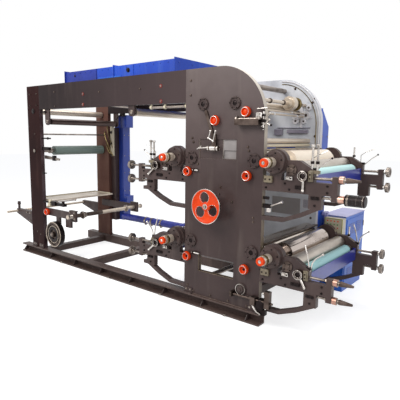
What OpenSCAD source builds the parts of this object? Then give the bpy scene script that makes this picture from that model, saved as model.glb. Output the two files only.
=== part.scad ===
/* [Side frames] */
// Height of the side frames above the floor
frame_h = 2200; // [2000:10:2500]
// Thickness of the side plates
plate_t = 50; // [30:5:60]
// Clear width between the two side frames
inside_w = 1050; // [900:10:1400]
// Width of each print tower plate
tower_w = 836; // [800:4:900]
// Radius of the tower's rounded top corner
tower_round = 450; // [250:10:480]
// Clear length of the web bay between tower and post
bay_l = 2426; // [2000:2:3000]
// Width of the end posts
post_w = 274; // [200:2:320]
// Depth of the top beams
beam_h = 294; // [200:2:340]

/* [Tower windows] */
// Width of the tower windows
window_w = 400; // [200:10:420]
// Height of the lower tower window
low_window_h = 157; // [80:1:180]
// Height of the upper tower window
high_window_h = 170; // [80:1:180]
// Distance of the windows' centre from the tower's centre
window_shift = 50; // [0:5:60]
// Height of the lower window's sill
low_sill_z = 350; // [330:5:360]
// Height of the upper window's sill above the upper station axis
high_sill_rise = 0; // [0:5:20]

/* [Base] */
// Height of the base rails
rail_h = 110; // [80:5:140]
// Width of the base rails
rail_w = 100; // [70:5:140]
// Length of rail beyond the post
rail_end = 230; // [50:10:400]
// Web thickness of the channel rails
rail_wall = 14; // [8:1:20]
// Height of the cross members
member_h = 80; // [50:5:100]
// Width of the cross members
member_w = 90; // [60:5:120]
// Spacing of the cross members from the posts on
member_step = 930; // [800:10:1000]

/* [Colour stations] */
// Height of the lower plate cylinders' axis
low_axis_z = 630; // [600:5:680]
// Rise from the lower to the upper stations
station_rise = 780; // [740:5:820]
// Distance of the plate cylinder's axis from the tower's edge
plate_axis_out = 114.5; // [112:0.5:125]
// Radius of the plate cylinders
plate_r = 88; // [80:1:92]
// Length of the plate cylinders' bodies
plate_body_l = 770; // [700:10:900]
// Radius of the plate cylinders' end hubs
plate_hub_r = 48; // [40:1:60]
// Radius of the impression rollers
impression_r = 98; // [70:1:102]
// Gap between plate cylinder and impression roller with printing off
throw_off = 13.5; // [8:0.5:30]
// Radius of the anilox rollers
anilox_r = 64; // [50:0.5:65]
// Radius of the fountain rollers
fountain_r = 48; // [40:1:52]
// Length of the fountain rollers' bodies
fountain_body_l = 840; // [760:10:900]
// Radius of the fountain rollers' end hubs
fountain_hub_r = 30; // [26:1:36]
// Gap between two rollers at their nip
nip_gap = 0.5; // [0.3:0.1:2]
// Drop angle from plate cylinder to anilox
anilox_drop = 20.8; // [16:0.1:23]
// Drop angle from anilox to fountain roller
fountain_drop = 20.8; // [16:0.1:26]
// Gap between a roller's face and the side plate
roller_gap = 15; // [8:1:25]
// Radius of the rollers' journals
journal_r = 22; // [15:1:28]
// Radial clearance of a journal in its bearing
journal_fit = 0.3; // [0.2:0.05:0.5]

/* [Station arms] */
// Length of the arms beyond the tower
arm_l = 630; // [600:5:700]
// Depth of the arms
arm_h = 95; // [70:5:110]
// Drop from the station axis to the arm's top edge
arm_drop = 140; // [135:1:160]
// Distance of the leg's outer edge from the tower
leg_out = 510; // [490:5:540]
// Width of the leg
leg_w = 105; // [60:5:130]
// Drop from the station axis to the leg's foot
leg_drop = 345; // [330:5:370]
// Drop from the station axis to the strut's root
strut_drop = 483; // [450:1:500]
// Width of the strut
strut_h = 34; // [26:1:44]
// Length of the strut's level end at the tower
strut_level = 190; // [150:5:220]
// Length of the foot tab on the left hand legs
foot_tab = 50; // [30:5:70]
// Radius of the plate cylinder's bearing housing
housing_r = 104; // [80:1:108]
// Thickness of the bearing housing in front of the plate
housing_t = 45; // [30:5:60]
// Margin of the inking side plate before the anilox roller's axis
ink_margin = 48; // [40:1:60]
// Margin of the inking side plate beyond the fountain roller's axis
ink_reach = 80; // [60:1:90]
// Rise of the inking side plate above the station axis
ink_top = 20; // [10:2:60]
// Rise of the inking side plate's outer end above the fountain roller's axis
ink_end_rise = 44; // [36:2:60]
// Width of the flat bar between tower and plate cylinder
bar_w = 44; // [30:2:46]
// Thickness of the flat bar
bar_t = 10; // [6:1:12]
// Rise of the flat bar above the station axis
bar_rise = 84; // [82:1:90]

/* [Adjusting screws] */
// Radius of the adjusting screws
screw_r = 10; // [8:0.5:13]
// Rise of the upper screws above the arm's top edge
screw_rise = 30; // [24:1:36]
// Drop of the lower screws below the arm's bottom edge
screw_fall = 18; // [14:1:26]
// Margin of the end blocks around the screws
block_edge = 12; // [6:1:16]
// Width of the screws' end blocks on the arms
block_w = 45; // [30:5:60]
// Radius of the screws' round knobs
screw_knob_r = 45; // [30:1:46]
// Length of the screws' round knobs
screw_knob_l = 42; // [30:1:60]
// Distance of the knobs beyond the right hand arms
knob_out_right = 15; // [10:5:60]
// Distance of the knobs beyond the left hand arms
knob_out_left = 105; // [60:5:110]
// Radius of the screws' collars
screw_collar_r = 28; // [20:1:32]
// Length of the tapered handle on an operator side screw
handle_l = 105; // [70:5:120]
// Radius of the handle's tip
handle_tip_r = 9; // [7:1:14]
// Length of the ribbed grip on the upper right arm
grip_l = 150; // [100:5:160]
// Radius of the pressure levers
lever_r = 8; // [5:1:12]
// Length of the right hand pressure levers
lever_l = 80; // [60:2:110]
// Outer radius of the levers' eccentric rings
lever_ring_r = 40; // [32:1:42]

/* [Ink train gears] */
// Tooth module of the ink train gears
gear_m = 4; // [4:0.5:5]
// Face width of the gears
gear_w = 22; // [14:1:26]
// Gap between the drive side plates and the gears
gear_gap = 8; // [6:1:10]
// Play between two meshing gears at the pitch line
backlash = 1.8; // [1.4:0.1:2.4]
// Length of shaft beyond the gears
shaft_tail = 4; // [2:1:8]

/* [Ink trays] */
// Thickness of the tray sheet
tray_t = 5; // [3:1:6]
// Clearance between fountain roller and tray
tray_gap = 14; // [8:1:20]
// Depth of the tray's floor under the fountain roller's axis
tray_deep = 106; // [80:2:120]
// Height of the tray's outer walls above its floor
tray_wall = 113; // [90:1:120]
// Height of the tray's lip on the anilox roller's side
tray_lip = 84; // [60:1:86]

/* [Shaft ends] */
// Reach of the plate cylinder's shaft in front of the frame
shaft_reach = 200; // [120:5:240]
// Radius of the shaft collar
collar_r = 38; // [28:1:44]
// Gap between the shaft collar and the bearing housing
collar_gap = 20; // [8:1:40]
// Radius of the orange end cap
cap_r = 33; // [20:1:36]

/* [Handwheel] */
// Height of the handwheel's axis
wheel_z = 995; // [950:5:1040]
// Distance of the handwheel from the tower's centre
wheel_shift = 75; // [0:5:100]
// Outer radius of the handwheel
wheel_r = 155; // [120:1:180]
// Radius of the rim's round section
wheel_rim = 11; // [8:1:14]
// Distance of the rim from the side plate
wheel_reach = 120; // [80:5:150]
// Radius of the handwheel's hub
wheel_hub_r = 42; // [30:1:50]
// Thickness of the handwheel's web
wheel_web = 12; // [8:1:16]

/* [Pressure knobs] */
// Radius of the pressure knobs
knob_r = 43; // [35:1:48]
// Reach of the pressure knobs in front of the plate
knob_reach = 45; // [40:5:80]
// Distance of the knobs from the middle between them
knob_out = 324; // [300:2:340]
// Distance of that middle left of the tower's centre
knob_shift = 50; // [0:2:56]
// Drop from the upper station axis to the knobs
knob_drop = 128; // [115:1:140]
// Drop from the lower station axis to the knobs
low_knob_drop = 156; // [140:1:170]
// Radius of the knobs' recess
knob_bowl_r = 28; // [20:1:30]
// Drop from the frame's top to the upper outer knob
top_knob_drop = 390; // [370:2:400]
// Drop from the frame's top to the upper inner knob
mid_knob_drop = 457; // [440:1:470]
// Distance of the upper outer knob from the tower's centre
top_knob_out = 250; // [240:2:270]
// Distance of the upper inner knob left of the tower's centre
mid_knob_in = 68; // [50:2:80]

/* [Bearing rings] */
// Radius of the impression rollers' bearing rings
ring_r = 60; // [45:1:66]
// Thickness of the bearing rings
ring_t = 18; // [12:1:26]
// Radius of the boss on the low tie
boss_r = 54; // [40:1:60]

/* [Web rollers] */
// Radius of the rubber pull roller
pull_r = 60; // [45:1:70]
// Height of the pull roller's axis
pull_z = 1385; // [1300:5:1450]
// Radius of the guide rollers
guide_r = 38; // [25:1:45]
// Distance of the pull roller's near face from the machine's middle
pull_near = 300; // [280:5:400]
// Drop from the frame's top to the infeed guide roller
infeed_drop = 312; // [300:2:340]
// Drop from the beams to the first hung roller
hung_drop = 148; // [120:2:170]
// Drop from the beams to the inner hung roller
inner_drop = 66; // [56:2:90]
// Distance of the first hung roller from the post
hung_out = 145; // [90:5:200]
// Distance of the inner hung roller from the tower
inner_out = 750; // [600:10:900]
// Drop from the frame's top to the tower's guide rollers
guide_drop = 314; // [300:2:330]
// Distance of the left guide roller from the tower's centre
guide_left = 210; // [190:5:240]
// Distance of the right guide roller from the tower's centre
guide_right = 130; // [110:5:150]
// Drop from the frame's top to the register roller
register_drop = 272; // [262:2:290]
// Distance of the register wheel behind the machine's middle
register_y = 165; // [100:5:250]
// Drop from the register roller to the upper web rod
rod_drop = 84; // [82:1:96]
// Step between the two web rods
rod_step = 30; // [24:1:40]
// Distance of the register roller from the tower's centre
register_out = 238; // [230:1:260]
// Radius of the register roller's wheel
register_r = 66; // [50:1:70]
// Radius of the register shaft
register_shaft_r = 16; // [10:1:20]
// Length of the register roller's body
register_l = 70; // [40:5:90]
// Radius of the two thin web rods
web_rod_r = 8; // [6:1:10]
// Radius of the long thin rods
rod_r = 10; // [8:1:12]
// Distance of the exit roller from the tower's centre
exit_out = 290; // [270:5:300]
// Height of the exit roller above the upper station axis
exit_rise = 162; // [156:1:180]
// Radius of the exit roller
exit_r = 24; // [16:1:30]
// Drop from the frame's top to the thin rod between the posts
post_rod_drop = 600; // [560:5:640]
// Width of the roller hangers
hanger_w = 90; // [60:5:120]
// Distance of the hangers from the plates' outer faces
hanger_in = 15; // [0:1:25]
// Thickness of the roller hangers
hanger_t = 20; // [12:1:30]

/* [Unwind] */
// Height of the unwind shaft's axis
unwind_z = 600; // [560:5:660]
// Distance of the unwind shaft from the post
unwind_out = 560; // [450:5:650]
// Radius of the unwind shaft
unwind_r = 24; // [18:1:32]
// Thickness of the unwind arms
unwind_arm_t = 30; // [20:1:40]
// Depth of the unwind arms
unwind_arm_h = 90; // [60:5:120]
// Side length of the arms' end blocks
end_block = 130; // [100:5:140]
// Side length of the block hung under the front unwind arm
hung_block = 106; // [80:2:120]
// Distance of the hung block from the unwind shaft's axis
hung_block_in = 90; // [70:5:120]
// Length of the gussets on the outer side of the posts
gusset_l = 385; // [300:5:400]
// Height of the gussets' top edge
gusset_z = 570; // [540:5:600]
// Depth of the gussets at the post
gusset_h = 175; // [120:5:200]
// Depth of the gussets at their tip
gusset_tip_h = 60; // [50:5:80]
// Distance of the edge rod from the gussets' tip
edge_rod_in = 25; // [22:1:40]
// Reach of the edge rod in front of the gusset
edge_rod_reach = 150; // [120:5:220]
// Radius of the edge rod
edge_rod_r = 16; // [10:1:20]
// Radius of the tension wheel
tension_r = 162; // [110:1:170]
// Height of the tension wheel's axis
tension_z = 340; // [300:5:380]
// Distance of the tension wheel from the post
tension_out = 250; // [200:5:320]
// Width of the lug that carries the tension wheel
lug_w = 70; // [55:5:100]
// Width of the tension wheel's rim
tension_w = 64; // [25:1:80]
// Gap between the tension wheel and its lug
tension_gap = 10; // [6:1:20]
// Height of the web table
table_z = 728; // [715:1:800]
// Thickness of the web table
table_t = 20; // [10:1:30]
// Distance the web table stands out beyond the posts
table_out = 30; // [10:5:60]
// Width of the web table
table_w = 378; // [300:2:400]

/* [Covers] */
// Radius of the cross ties
tie_r = 25; // [15:1:35]
// Distance of the low tie from the tower's edge
tie_in = 36; // [30:1:40]
// Drop from the frame's top to the tower's top tie
top_tie_drop = 120; // [100:5:140]
// Distance of the thin rod from the posts' inner edge
post_rod_in = 60; // [40:5:80]
// Distance of the hood's ties from its ends
hood_tie_in = 200; // [60:10:400]
// Length of the drying hood
hood_l = 1790; // [1500:10:1850]
// Height of the hood above the frame
hood_rise = 140; // [80:5:250]
// Depth of the hood below the frame's top
hood_sink = 190; // [100:5:250]
// Width of the drying hood
hood_w = 900; // [700:10:1000]
// Thickness of the hood's seam flanges
seam_t = 8; // [4:1:12]
// Height of the hood's seam flanges
seam_h = 14; // [8:1:20]
// Distance of the hood from the tower
hood_out = 240; // [100:10:400]
// Depth of the gear guard behind the drive side plate
guard_d = 180; // [100:5:250]
// Drop from the frame's top to the gear guard's top
guard_drop = 300; // [200:10:400]
// Height of the gear guard's bottom
guard_base = 150; // [120:10:1200]
// Gap between the gear guard's sides and the tower's edges
guard_in = 12; // [8:1:20]
// Width of the column guard
column_w = 182; // [140:2:200]
// Depth of the column guard
column_d = 130; // [80:5:140]
// Height of the column guard's foot
column_base = 340; // [300:5:340]
// Drop from the frame's top to the column guard's top
column_fall = 310; // [300:5:340]
// Height of the wide head of the column guard
head_h = 180; // [120:10:240]
// Width that the head and the flange stand out
head_out = 70; // [40:2:90]
// Height of the flange's underside above the column guard's foot
flange_rise = 270; // [200:10:300]
// Height of the column guard's flange
flange_h = 100; // [60:5:120]
// Depth of the bracket between post and column guard
bracket_d = 75; // [60:5:80]
// Radius of the line shaft guard
line_r = 50; // [35:1:52]
// Height of the line shaft guard's axis
line_z = 397; // [394:1:400]
// Radius of the clamp on the line shaft guard
line_clamp_r = 58; // [54:1:60]
// Width of the clamp on the line shaft guard
line_clamp_w = 40; // [20:5:60]
// Distance of the line shaft guard's clamp from the tower
line_clamp_out = 1060; // [900:20:1300]
// Distance of the cabinet behind the drive side plate
cabinet_back = 130; // [125:5:170]
// Length of the electrical cabinet
cabinet_l = 250; // [210:10:600]
// Depth of the electrical cabinet
cabinet_d = 560; // [400:10:700]
// Height of the electrical cabinet
cabinet_h = 800; // [700:10:1000]
// Width of the cable duct between guard and cabinet
duct_w = 40; // [20:5:45]
// Height of the cable duct between guard and cabinet
duct_h = 160; // [80:10:200]
// Height of the cable duct's underside
duct_z = 400; // [200:10:500]
// Size of the control box's panel
box_w = 190; // [120:5:240]
// Height of the control box's underside
box_z = 602; // [400:2:650]
// Depth of the control box
box_d = 90; // [60:5:130]

/* [Operator side brackets] */
// Height of the low rod's axis
low_rod_z = 235; // [225:5:245]
// Length of the low rod
low_rod_l = 420; // [380:5:440]
// Distance of the low rod's left end from the tower's centre
low_rod_x = 150; // [120:5:160]
// Distance of the low rod from the plate's face
low_rod_out = 32; // [24:1:40]
// Side length of the rod's clamps
clamp_a = 46; // [34:2:50]
// Radius of the air cylinder
air_r = 22; // [16:1:28]
// Length of the air cylinder
air_l = 115; // [80:5:130]
// Rise of the air cylinder above the upper station axis
air_rise = 92; // [86:1:110]
// Width of the compensator arm
arm_bar_w = 30; // [20:1:40]
// Width of the ledge under the upper outer knob
ledge_w = 230; // [150:5:240]
// Distance of the ledge's middle from the knob above it
ledge_shift = 30; // [0:5:40]
// Drop from the knob's axis to the ledge's underside
ledge_drop = 110; // [90:2:120]
// Thickness of the flat levers and brackets
lever_t = 14; // [8:1:18]
// Height of the ledge
ledge_h = 50; // [20:2:56]
// Depth of the ledge
ledge_d = 66; // [40:2:80]

/* [Hidden] */
$fn = 64;
cut = 1;
ease = 0.5;
steel = "dimgray";
paint_dark = [0.29, 0.25, 0.25];
paint_blue = [0.18, 0.33, 0.73];
chrome = [0.8, 0.78, 0.75];
orange = [0.94, 0.33, 0.08];
cream = [0.82, 0.74, 0.64];
tower_half = tower_w / 2;
face_y = inside_w / 2;
outer_y = face_y + plate_t;
post_x = -tower_half - bay_l - post_w;
post_mid_x = post_x + post_w / 2;
post_inner_x = post_x + post_w;
beam_z = frame_h - beam_h;
window_x = -window_shift - window_w / 2;
station_z = [low_axis_z, low_axis_z + station_rise];
window_z = [low_sill_z, station_z[1] + high_sill_rise];
window_h = [low_window_h, high_window_h];
plate_x = tower_half + plate_axis_out;
impression_x = plate_x - plate_r - impression_r - throw_off;
anilox_reach = plate_r + anilox_r + nip_gap;
anilox_x = plate_x + anilox_reach * cos(anilox_drop);
anilox_dz = -anilox_reach * sin(anilox_drop);
fountain_reach = anilox_r + fountain_r + nip_gap;
fountain_x = anilox_x + fountain_reach * cos(fountain_drop);
fountain_dz = anilox_dz - fountain_reach * sin(fountain_drop);
roller_l = inside_w - 2 * roller_gap;
bore_r = journal_r + journal_fit;
ink_plate_x = anilox_x - ink_margin;
ink_plate_end = fountain_x + ink_reach;
arm_end_x = tower_half + arm_l;
screw_dz = [screw_rise - arm_drop, -arm_drop - arm_h - screw_fall];
screw_y = face_y + plate_t / 2;
knob_z = [station_z[0] - low_knob_drop, station_z[1] - knob_drop];
tray_half = fountain_r + tray_gap;
hood_x = -tower_half - hood_out - hood_l;
infeed_z = frame_h - infeed_drop;
hung_z = beam_z - hung_drop;
inner_z = beam_z - inner_drop;
guide_z = frame_h - guide_drop;
guide_x = [-guide_left, guide_right];
register_z = frame_h - register_drop;
unwind_x = post_inner_x + unwind_out;
tension_x = post_inner_x + tension_out;
hung_x = post_inner_x + hung_out;
inner_hung_x = -tower_half - inner_out;
stub_l = plate_t + 12;
top_knob = [top_knob_out, frame_h - top_knob_drop];
mid_knob = [-mid_knob_in, frame_h - mid_knob_drop];
post_knob = [post_inner_x + knob_r, unwind_z];
gusset_tip_x = post_x - gusset_l;
edge_rod = [gusset_tip_x + edge_rod_in, gusset_z - gusset_tip_h / 2];
column_x = post_inner_x;
column_y = outer_y + bracket_d;
column_top = frame_h - column_fall;
line_y = outer_y + line_r + 26;
gear_y = outer_y + gear_gap;
gear_tail = gear_y + gear_w + shaft_tail;
low_tie = [tie_in - tower_half, rail_h + 2 * tie_in];
boss_tie = [tower_half - 5 * tie_in, low_sill_z - 2 * tie_in + 6];

// Tooth counts of the ink train, from the rollers' sizes
plate_n = round(2 * plate_r / gear_m);
anilox_n = round(2 * anilox_r / gear_m);
fountain_n = round(2 * fountain_r / gear_m);
// Pitch radii that share out the distance between the axes
plate_pitch = anilox_reach * plate_n / (plate_n + anilox_n);
anilox_pitch = anilox_reach - plate_pitch;
fountain_pitch = fountain_reach * fountain_n / (anilox_n + fountain_n);
// Turn of each gear at rest, so that a tooth always faces a gap
anilox_step = 360 / anilox_n;
anilox_phase = 180 - anilox_drop + anilox_step / 2;
mesh_turn = (-fountain_drop - anilox_phase) / anilox_step;
mesh_share = mesh_turn - floor(mesh_turn);
fountain_phase = 180 - fountain_drop + (mesh_share + 0.5) * 360 / fountain_n;

// Places children at a station: side is 1 for right and -1 for left
module at_station(side, level) {
    translate([0, 0, station_z[level]]) mirror([side < 0 ? 1 : 0, 0, 0]) children();
}

// A plate of a flat outline in X and Z, from y0 to y0 + t
module upright(y0, t) {
    translate([0, y0 + t, 0]) rotate([90, 0, 0]) linear_extrude(t) children();
}

// A shaft along Y from y0 to y1
module shaft(r, y0, y1) {
    translate([0, y0, 0]) rotate([-90, 0, 0]) cylinder(r = r, h = y1 - y0);
}

// A turned piece on an axis along Y, whose profile rises towards the operator from y0
module turned(y0) {
    translate([0, y0, 0]) rotate([90, 0, 0]) rotate_extrude() children();
}

// A turned piece on an axis along X, whose profile rises in +X
module turned_x() {
    rotate([0, 90, 0]) rotate_extrude() children();
}

// A flat bar between two points, with round ends
module flat_link(p, q, w) {
    translate(p) rotate(atan2(q[1] - p[1], q[0] - p[0])) translate([0, -w / 2]) square([norm(q - p), w]);
    translate(p) circle(w / 2 - ease);
    translate(q) circle(w / 2 - ease);
}

// Profile of a flanged bearing ring with a recess round its bore
module ring_profile(r, t, hole) {
    mid = (r + hole) / 2;
    polygon([[hole, 0], [r, 0], [r, t - 4], [r - 4, t], [mid + 3, t], [mid, t - 6], [hole, t - 6]]);
}

// Profile of a bowl shaped knob
module knob_profile(r, l, bowl) {
    polygon([
        [0, 0], [r - 8, 0], [r - 2, 0.25 * l], [r, 0.75 * l], [r - 5, l],
        [bowl + 4, l], [bowl - 4, 0.55 * l], [0, 0.5 * l]
    ]);
}

// The outline of a spur gear with n straight sided teeth and a tooth at the angle phase
module gear_outline(n, r_pitch, phase) {
    m = 2 * r_pitch / n;
    half = (PI * m - backlash) / 4;
    tip = [r_pitch + 0.9 * m, half - 0.9 * m * tan(20)];
    root = [r_pitch - 1.25 * m, half + 1.25 * m * tan(20)];
    tooth = [[root[0], -root[1]], [tip[0], -tip[1]], tip, root];
    polygon([
        for (i = [0:n - 1], p = tooth)
            let (a = phase + 360 * i / n + p[1] / p[0] * 180 / PI) p[0] * [cos(a), sin(a)]
    ]);
}

// The tower's outline with its rounded top corner and windows
module tower_outline() {
    difference() {
        union() {
            translate([-tower_half, rail_h]) square([tower_w - tower_round, frame_h - rail_h]);
            translate([-tower_half, rail_h]) square([tower_w, frame_h - rail_h - tower_round]);
            intersection() {
                translate([tower_half - tower_round, frame_h - tower_round]) circle(tower_round);
                translate([tower_half - tower_round, rail_h]) square([tower_round, frame_h]);
            }
        }
        for (i = [0, 1]) translate([window_x, window_z[i]]) square([window_w, window_h[i]]);
        for (z = station_z, side = [-1, 1]) translate([side * impression_x, z]) circle(bore_r);
        for (x = guide_x) translate([x, guide_z]) circle(bore_r);
    }
}

module tower_plate(y0) {
    color(paint_dark) upright(y0, plate_t) tower_outline();
}

module top_beam(y0) {
    color(paint_dark) translate([-tower_half - bay_l, y0, beam_z]) cube([bay_l, plate_t, beam_h]);
}

module post(y0) {
    color(paint_dark) upright(y0, plate_t) difference() {
        translate([post_x, rail_h]) square([post_w, frame_h - rail_h]);
        translate([post_mid_x, pull_z]) circle(bore_r);
        translate([post_mid_x, infeed_z]) circle(bore_r);
    }
}

// A channel rail with its open side outwards
module base_rail(side) {
    rail_l = rail_end + post_w + bay_l + tower_w + 20;
    flange_w = rail_w - rail_wall;
    color(paint_dark)
        translate([post_x - rail_end, side * (face_y + plate_t / 2), 0]) mirror([0, side < 0 ? 1 : 0, 0])
            difference() {
                translate([0, -rail_w / 2, 0]) cube([rail_l, rail_w, rail_h]);
                translate([-cut, rail_wall - rail_w / 2, rail_wall])
                    cube([rail_l + 2 * cut, flange_w + cut, rail_h - 2 * rail_wall]);
            }
}

module base_members() {
    member_l = inside_w + plate_t - rail_w;
    color(paint_dark)
        for (x = [post_mid_x, post_mid_x + member_step, 0])
            translate([x - member_w / 2, -member_l / 2, 0]) cube([member_w, member_l, member_h]);
}

module cross_ties() {
    hood_tie_z = frame_h - hood_sink - tie_r;
    color(steel) {
        for (p = [low_tie, boss_tie, [0, frame_h - top_tie_drop], [hood_x + hood_tie_in, hood_tie_z],
                  [hood_x + hood_l - hood_tie_in, hood_tie_z]])
            translate([p[0], 0, p[1]]) shaft(tie_r, -face_y, face_y);
        translate([post_inner_x - post_rod_in, 0, frame_h - post_rod_drop]) shaft(rod_r, -face_y, face_y);
    }
}

// A roller body with a journal at each end
module roller(r, l, journal, y0, y1) {
    shaft(r, -l / 2, l / 2);
    shaft(journal, y0, y1);
}

// A roller body of the length l with narrower hubs out to the side plates
module hubbed_roller(r, l, hub, y0, y1) {
    shaft(r, -l / 2, l / 2);
    roller(hub, roller_l, journal_r, y0, y1);
}

module impression_rollers() {
    color(chrome) for (side = [-1, 1], level = [0, 1])
        at_station(side, level) translate([impression_x, 0, 0])
            roller(impression_r, roller_l, journal_r, -outer_y, outer_y);
}

// The strut under an arm: it drops from the leg and runs level into the tower
module strut_outline() {
    level_z = -strut_drop + strut_h / 2;
    knee = [tower_half + strut_level, level_z + 4];
    leg_foot = [tower_half + leg_out - strut_h / 2, strut_h / 2 - leg_drop];
    bend = (knee + leg_foot) / 2 + [0, -10];
    intersection() {
        union() {
            flat_link([tower_half, level_z], knee, strut_h);
            flat_link(knee, bend, strut_h);
            flat_link(bend, leg_foot, strut_h);
        }
        translate([tower_half, -frame_h]) square([leg_out, frame_h]);
    }
}

module station_outline(tab) {
    block_top = screw_dz[0] + screw_r + block_edge;
    block_foot = screw_dz[1] - screw_r - block_edge;
    difference() {
        union() {
            translate([tower_half, -arm_drop - arm_h]) square([arm_l, arm_h]);
            translate([tower_half + leg_out - leg_w, -leg_drop]) square([leg_w, leg_drop - arm_drop]);
            translate([tower_half + leg_out - cut, -leg_drop]) square([tab + cut, strut_h]);
            strut_outline();
            translate([plate_x, 0]) circle(housing_r);
            translate([plate_x - housing_r / 2, -arm_drop]) square([housing_r, arm_drop]);
            polygon([
                [ink_plate_x, -arm_drop], [ink_plate_x, ink_top], [anilox_x + anilox_r, ink_top],
                [ink_plate_end, fountain_dz + ink_end_rise], [ink_plate_end, -arm_drop]
            ]);
            translate([arm_end_x - block_w, block_foot]) square([block_w, block_top - block_foot]);
        }
        translate([plate_x, 0]) circle(bore_r);
        translate([anilox_x, anilox_dz]) circle(bore_r);
        translate([fountain_x, fountain_dz]) circle(bore_r);
    }
}

module station_frame(side, level) {
    tab = side < 0 ? foot_tab : 0;
    color(paint_dark) at_station(side, level) {
        difference() {
            for (y0 = [-outer_y, face_y]) upright(y0, plate_t) station_outline(tab);
            for (y = [-screw_y, screw_y], dz = screw_dz)
                translate([arm_end_x - block_w - cut, y, dz]) rotate([0, 90, 0])
                    cylinder(r = screw_r, h = block_w + 2 * cut);
        }
        translate([plate_x, 0, 0]) turned(-outer_y) ring_profile(housing_r - 12, housing_t, bore_r);
    }
}

// A trough under the fountain roller, closed at both ends and notched for its journals
module ink_tray(side, level) {
    floor_z = fountain_dz - tray_deep;
    color(paint_blue) at_station(side, level) difference() {
        translate([fountain_x - tray_half - tray_t, -face_y, floor_z - tray_t])
            cube([2 * (tray_half + tray_t), inside_w, tray_wall + tray_t]);
        translate([fountain_x - tray_half, tray_t - face_y, floor_z])
            cube([2 * tray_half, inside_w - 2 * tray_t, tray_wall + cut]);
        translate([fountain_x - tray_half - tray_t - cut, -face_y - cut, floor_z + tray_lip])
            cube([tray_half + tray_t, inside_w + 2 * cut, tray_wall]);
        translate([fountain_x, 0, fountain_dz]) {
            shaft(journal_r + tray_gap, -face_y - cut, face_y + cut);
            translate([-journal_r - tray_gap, -face_y - cut, 0])
                cube([2 * (journal_r + tray_gap), inside_w + 2 * cut, tray_wall]);
        }
    }
}

module plate_cylinder(side, level) {
    color(chrome) at_station(side, level) translate([plate_x, 0, 0]) {
        hubbed_roller(plate_r, plate_body_l, plate_hub_r, -outer_y - shaft_reach, gear_tail);
        shaft(collar_r, -outer_y - shaft_reach + 20, -outer_y - housing_t - collar_gap);
        shaft(cap_r, -outer_y - shaft_reach, -outer_y - shaft_reach + 20);
        upright(gear_y, gear_w) difference() {
            gear_outline(plate_n, plate_pitch, -anilox_drop);
            for (a = [36:72:360]) rotate(a) translate([0.6 * plate_pitch, 0]) circle(0.16 * plate_pitch);
        }
    }
}

module anilox_roller(side, level) {
    color(cream) at_station(side, level) translate([anilox_x, 0, anilox_dz]) {
        roller(anilox_r, roller_l, journal_r, -face_y - stub_l, gear_tail);
        upright(gear_y, gear_w) gear_outline(anilox_n, anilox_pitch, anilox_phase);
    }
}

module fountain_roller(side, level) {
    color([0.57, 0.78, 0.76]) at_station(side, level) translate([fountain_x, 0, fountain_dz]) {
        hubbed_roller(fountain_r, fountain_body_l, fountain_hub_r, -face_y - stub_l, gear_tail);
        upright(gear_y, gear_w) gear_outline(fountain_n, fountain_pitch, fountain_phase);
    }
}

// A flat bar along each nip between tower and plate cylinder
module flat_bars() {
    color(steel) for (side = [-1, 1], level = [0, 1]) at_station(side, level)
        translate([tower_half - bar_w / 3, -face_y, bar_rise]) cube([bar_w, inside_w, bar_t]);
}

// Turned screw along +X from the leg, ending in a round knob at x1
module knob_screw(x0, x1) {
    translate([x0, 0, 0]) rotate([0, 90, 0]) cylinder(r = screw_r, h = x1 - x0);
    translate([x1, 0, 0]) turned_x() polygon([
        [0, 0], [0.45 * screw_knob_r, 0], [0.5 * screw_knob_r, 8], [screw_knob_r - 4, 10], [screw_knob_r, 14],
        [screw_knob_r, screw_knob_l - 5], [screw_knob_r - 5, screw_knob_l], [0, screw_knob_l]
    ]);
}

// The same screw with a collar and a tapered handle
module handle_screw(x0) {
    translate([x0, 0, 0]) rotate([0, 90, 0]) cylinder(r = screw_r, h = arm_end_x - x0);
    translate([arm_end_x, 0, 0]) turned_x() polygon([
        [0, 0], [screw_collar_r - 3, 0], [screw_collar_r, 4], [screw_collar_r, 36], [screw_collar_r - 3, 40],
        [0.6 * screw_collar_r, 42], [0.6 * screw_collar_r, 50], [0.75 * screw_collar_r, 56],
        [handle_tip_r, 50 + handle_l], [0, 50 + handle_l]
    ]);
}

// The same screw with a long ribbed grip
module grip_screw(x0) {
    handle_r = screw_knob_r - 3;
    translate([x0, 0, 0]) rotate([0, 90, 0]) cylinder(r = screw_r, h = arm_end_x - x0);
    translate([arm_end_x, 0, 0]) turned_x() polygon(concat(
        [[0, 0], [screw_collar_r, 0], [screw_collar_r, 48], [handle_r - 6, 52], [handle_r, 58]],
        [for (i = [0:3], p = [[handle_r, 24], [handle_r - 4, 27]]) [p[0], 58 + i * (grip_l - 70) / 4 + p[1]]],
        [[handle_r, 50 + grip_l - 12], [handle_r - 8, 50 + grip_l], [0, 50 + grip_l]]
    ));
}

module adjusting_screws() {
    color(steel) for (level = [0, 1], side = [-1, 1], i = [0, 1]) at_station(side, level) {
        x0 = i == 0 ? ink_plate_end : tower_half + leg_out;
        out = side < 0 ? knob_out_left : knob_out_right;
        translate([0, screw_y, screw_dz[i]]) knob_screw(x0, arm_end_x + out);
        translate([0, -screw_y, screw_dz[i]]) {
            if (side < 0) knob_screw(x0, arm_end_x + out);
            if (side > 0 && level == 1 && i == 1) grip_screw(x0);
            if (side > 0 && (level == 0 || i == 0)) handle_screw(x0);
        }
    }
}

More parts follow.
